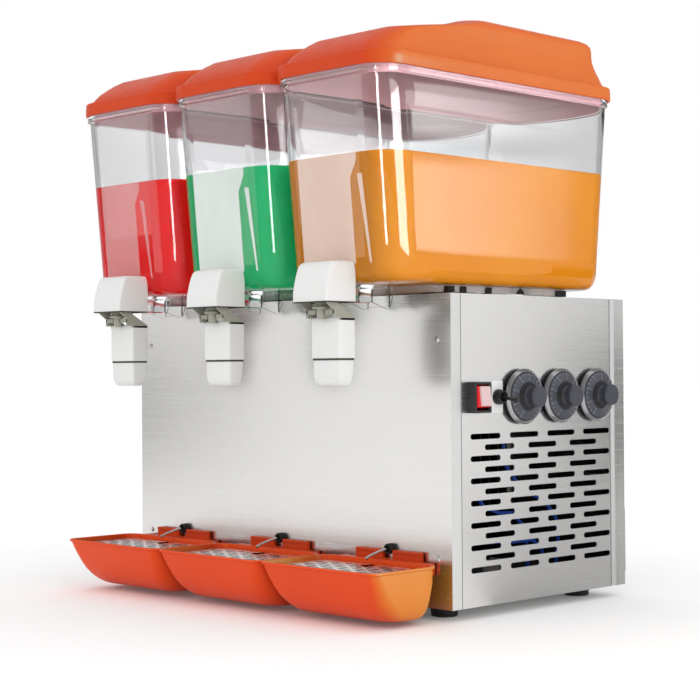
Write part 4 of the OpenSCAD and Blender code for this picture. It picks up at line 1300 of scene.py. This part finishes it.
def make_world():
    """Even light, with walls of uneven brightness for what is mirrored or seen through clear plastic."""
    world = bpy.data.worlds.new("studio")
    world.use_nodes = True
    bpy.context.scene.world = world
    graph = Graph(world.node_tree)
    even = graph.tree.nodes["Background"]
    even.inputs["Color"].default_value = (1, 1, 1, 1)
    even.inputs["Strength"].default_value = 1.0
    sky = graph.add("ShaderNodeTexCoord").outputs["Generated"]
    way = graph.add("ShaderNodeSeparateXYZ", Vector=sky).outputs
    bearing = graph.span(graph.count("ARCTAN2", way["Y"], way["X"]), 0, 1, start=-math.pi, end=math.pi)

    def walls(levels):
        """Backdrop whose brightness goes by bearing."""
        stops = [((degrees + 180) / 360, (level / STUDIO_PEAK,) * 3) for degrees, level in levels]
        made = graph.add("ShaderNodeBackground", Color=graph.colours(bearing, *stops), Strength=STUDIO_PEAK)
        return made.outputs["Background"]

    path = graph.add("ShaderNodeLightPath").outputs
    glossy = graph.count("SUBTRACT", path["Is Glossy Ray"], path["Is Transmission Ray"], clamp=True)
    through = graph.mix(path["Is Transmission Ray"], even.outputs["Background"], walls(BACKDROP))
    seen = graph.mix(glossy, through, walls(STUDIO))
    graph.feed(graph.tree.nodes["World Output"].inputs["Surface"], seen)


def make_lamps():
    """Lamps that light everything, and lamps that only one group of pieces mirrors."""
    tanks = [f"tank_shell_{i}" for i in UNITS]
    lids = [f"lid_shell_{i}" for i in UNITS]
    trays = [f"tray_shell_{i}" for i in UNITS]
    # pale sheet mirrored by the flat fronts of the tanks
    softbox("box_left", (-2.35, -2.55, 0.70), (0, -0.2, 0.70), 1.5, 1.36, 1.6, only=tanks)
    # narrow and broad strips for the upright lines on the tank corners
    softbox("strip", (1.25, -2.6, 0.66), (0.1, -0.1, 0.66), 0.36, 1.12, 34.0, only=tanks)
    softbox("side_strip", (2.84, -0.40, 0.74), (0.27, -0.23, 0.74), 1.5, 1.12, 24.0, only=tanks)
    # sheet that fades from front to back along the right side of the tank
    softbox("side_sheet", (1.86, 1.86, 0.635), (0.3, -0.05, 0.53), 0.9, 0.47, 7.0, fade=True, only=tanks)
    softbox("upper_sheet", (1.86, 1.86, 1.12), (0.3, -0.05, 0.70), 0.9, 0.50, 6.0, fade=True, only=tanks)
    # sheen and warm side light on the lids and trays, and the glint on the left of each dial's rim
    softbox("shell_sheen", (2.1, 2.0, 2.0), (0.25, -0.1, 0.6), 1.2, 2.2, 2.2, only=lids + trays,
            colour=(0.7, 0.7, 0.4))
    softbox("lid_warmth", (2.3, 0.6, 0.9), (0.25, -0.1, 0.7), 1.0, 1.0, 28.0, only=lids,
            colour=(0.04, 1.0, 0.8))
    softbox("tray_warmth", (2.3, 0.5, 0.3), (0.25, -0.3, 0.05), 1.0, 0.5, 112.0, only=trays,
            colour=(0.06, 1.0, 0.8))
    softbox("tray_fill", (0.0, -3.0, 0.45), (0, -0.3, 0.05), 1.5, 0.6, 9.0, only=trays,
            colour=(1.0, 0.9, 0.5))
    softbox("rim_glint", (1.2, -2.75, 0.62), (0.26, 0.05, 0.3), 0.5, 0.5, 9.0,
            only=[f"dial_rim_{i}" for i in UNITS])
    # overhead box and the key light on the right side
    softbox("box_top", (0.3, -0.2, 2.6), (0, 0, 0), 2.4, 2.4, 0.35, mirrored=False)
    softbox("box_right", (3.0, -0.8, 1.2), (0.3, 0, 0.4), 1.6, 1.6, 1.4, mirrored=False)


make_floor()
make_cards()
make_world()
make_lamps()
bpy.context.scene.view_settings.view_transform = "Standard"
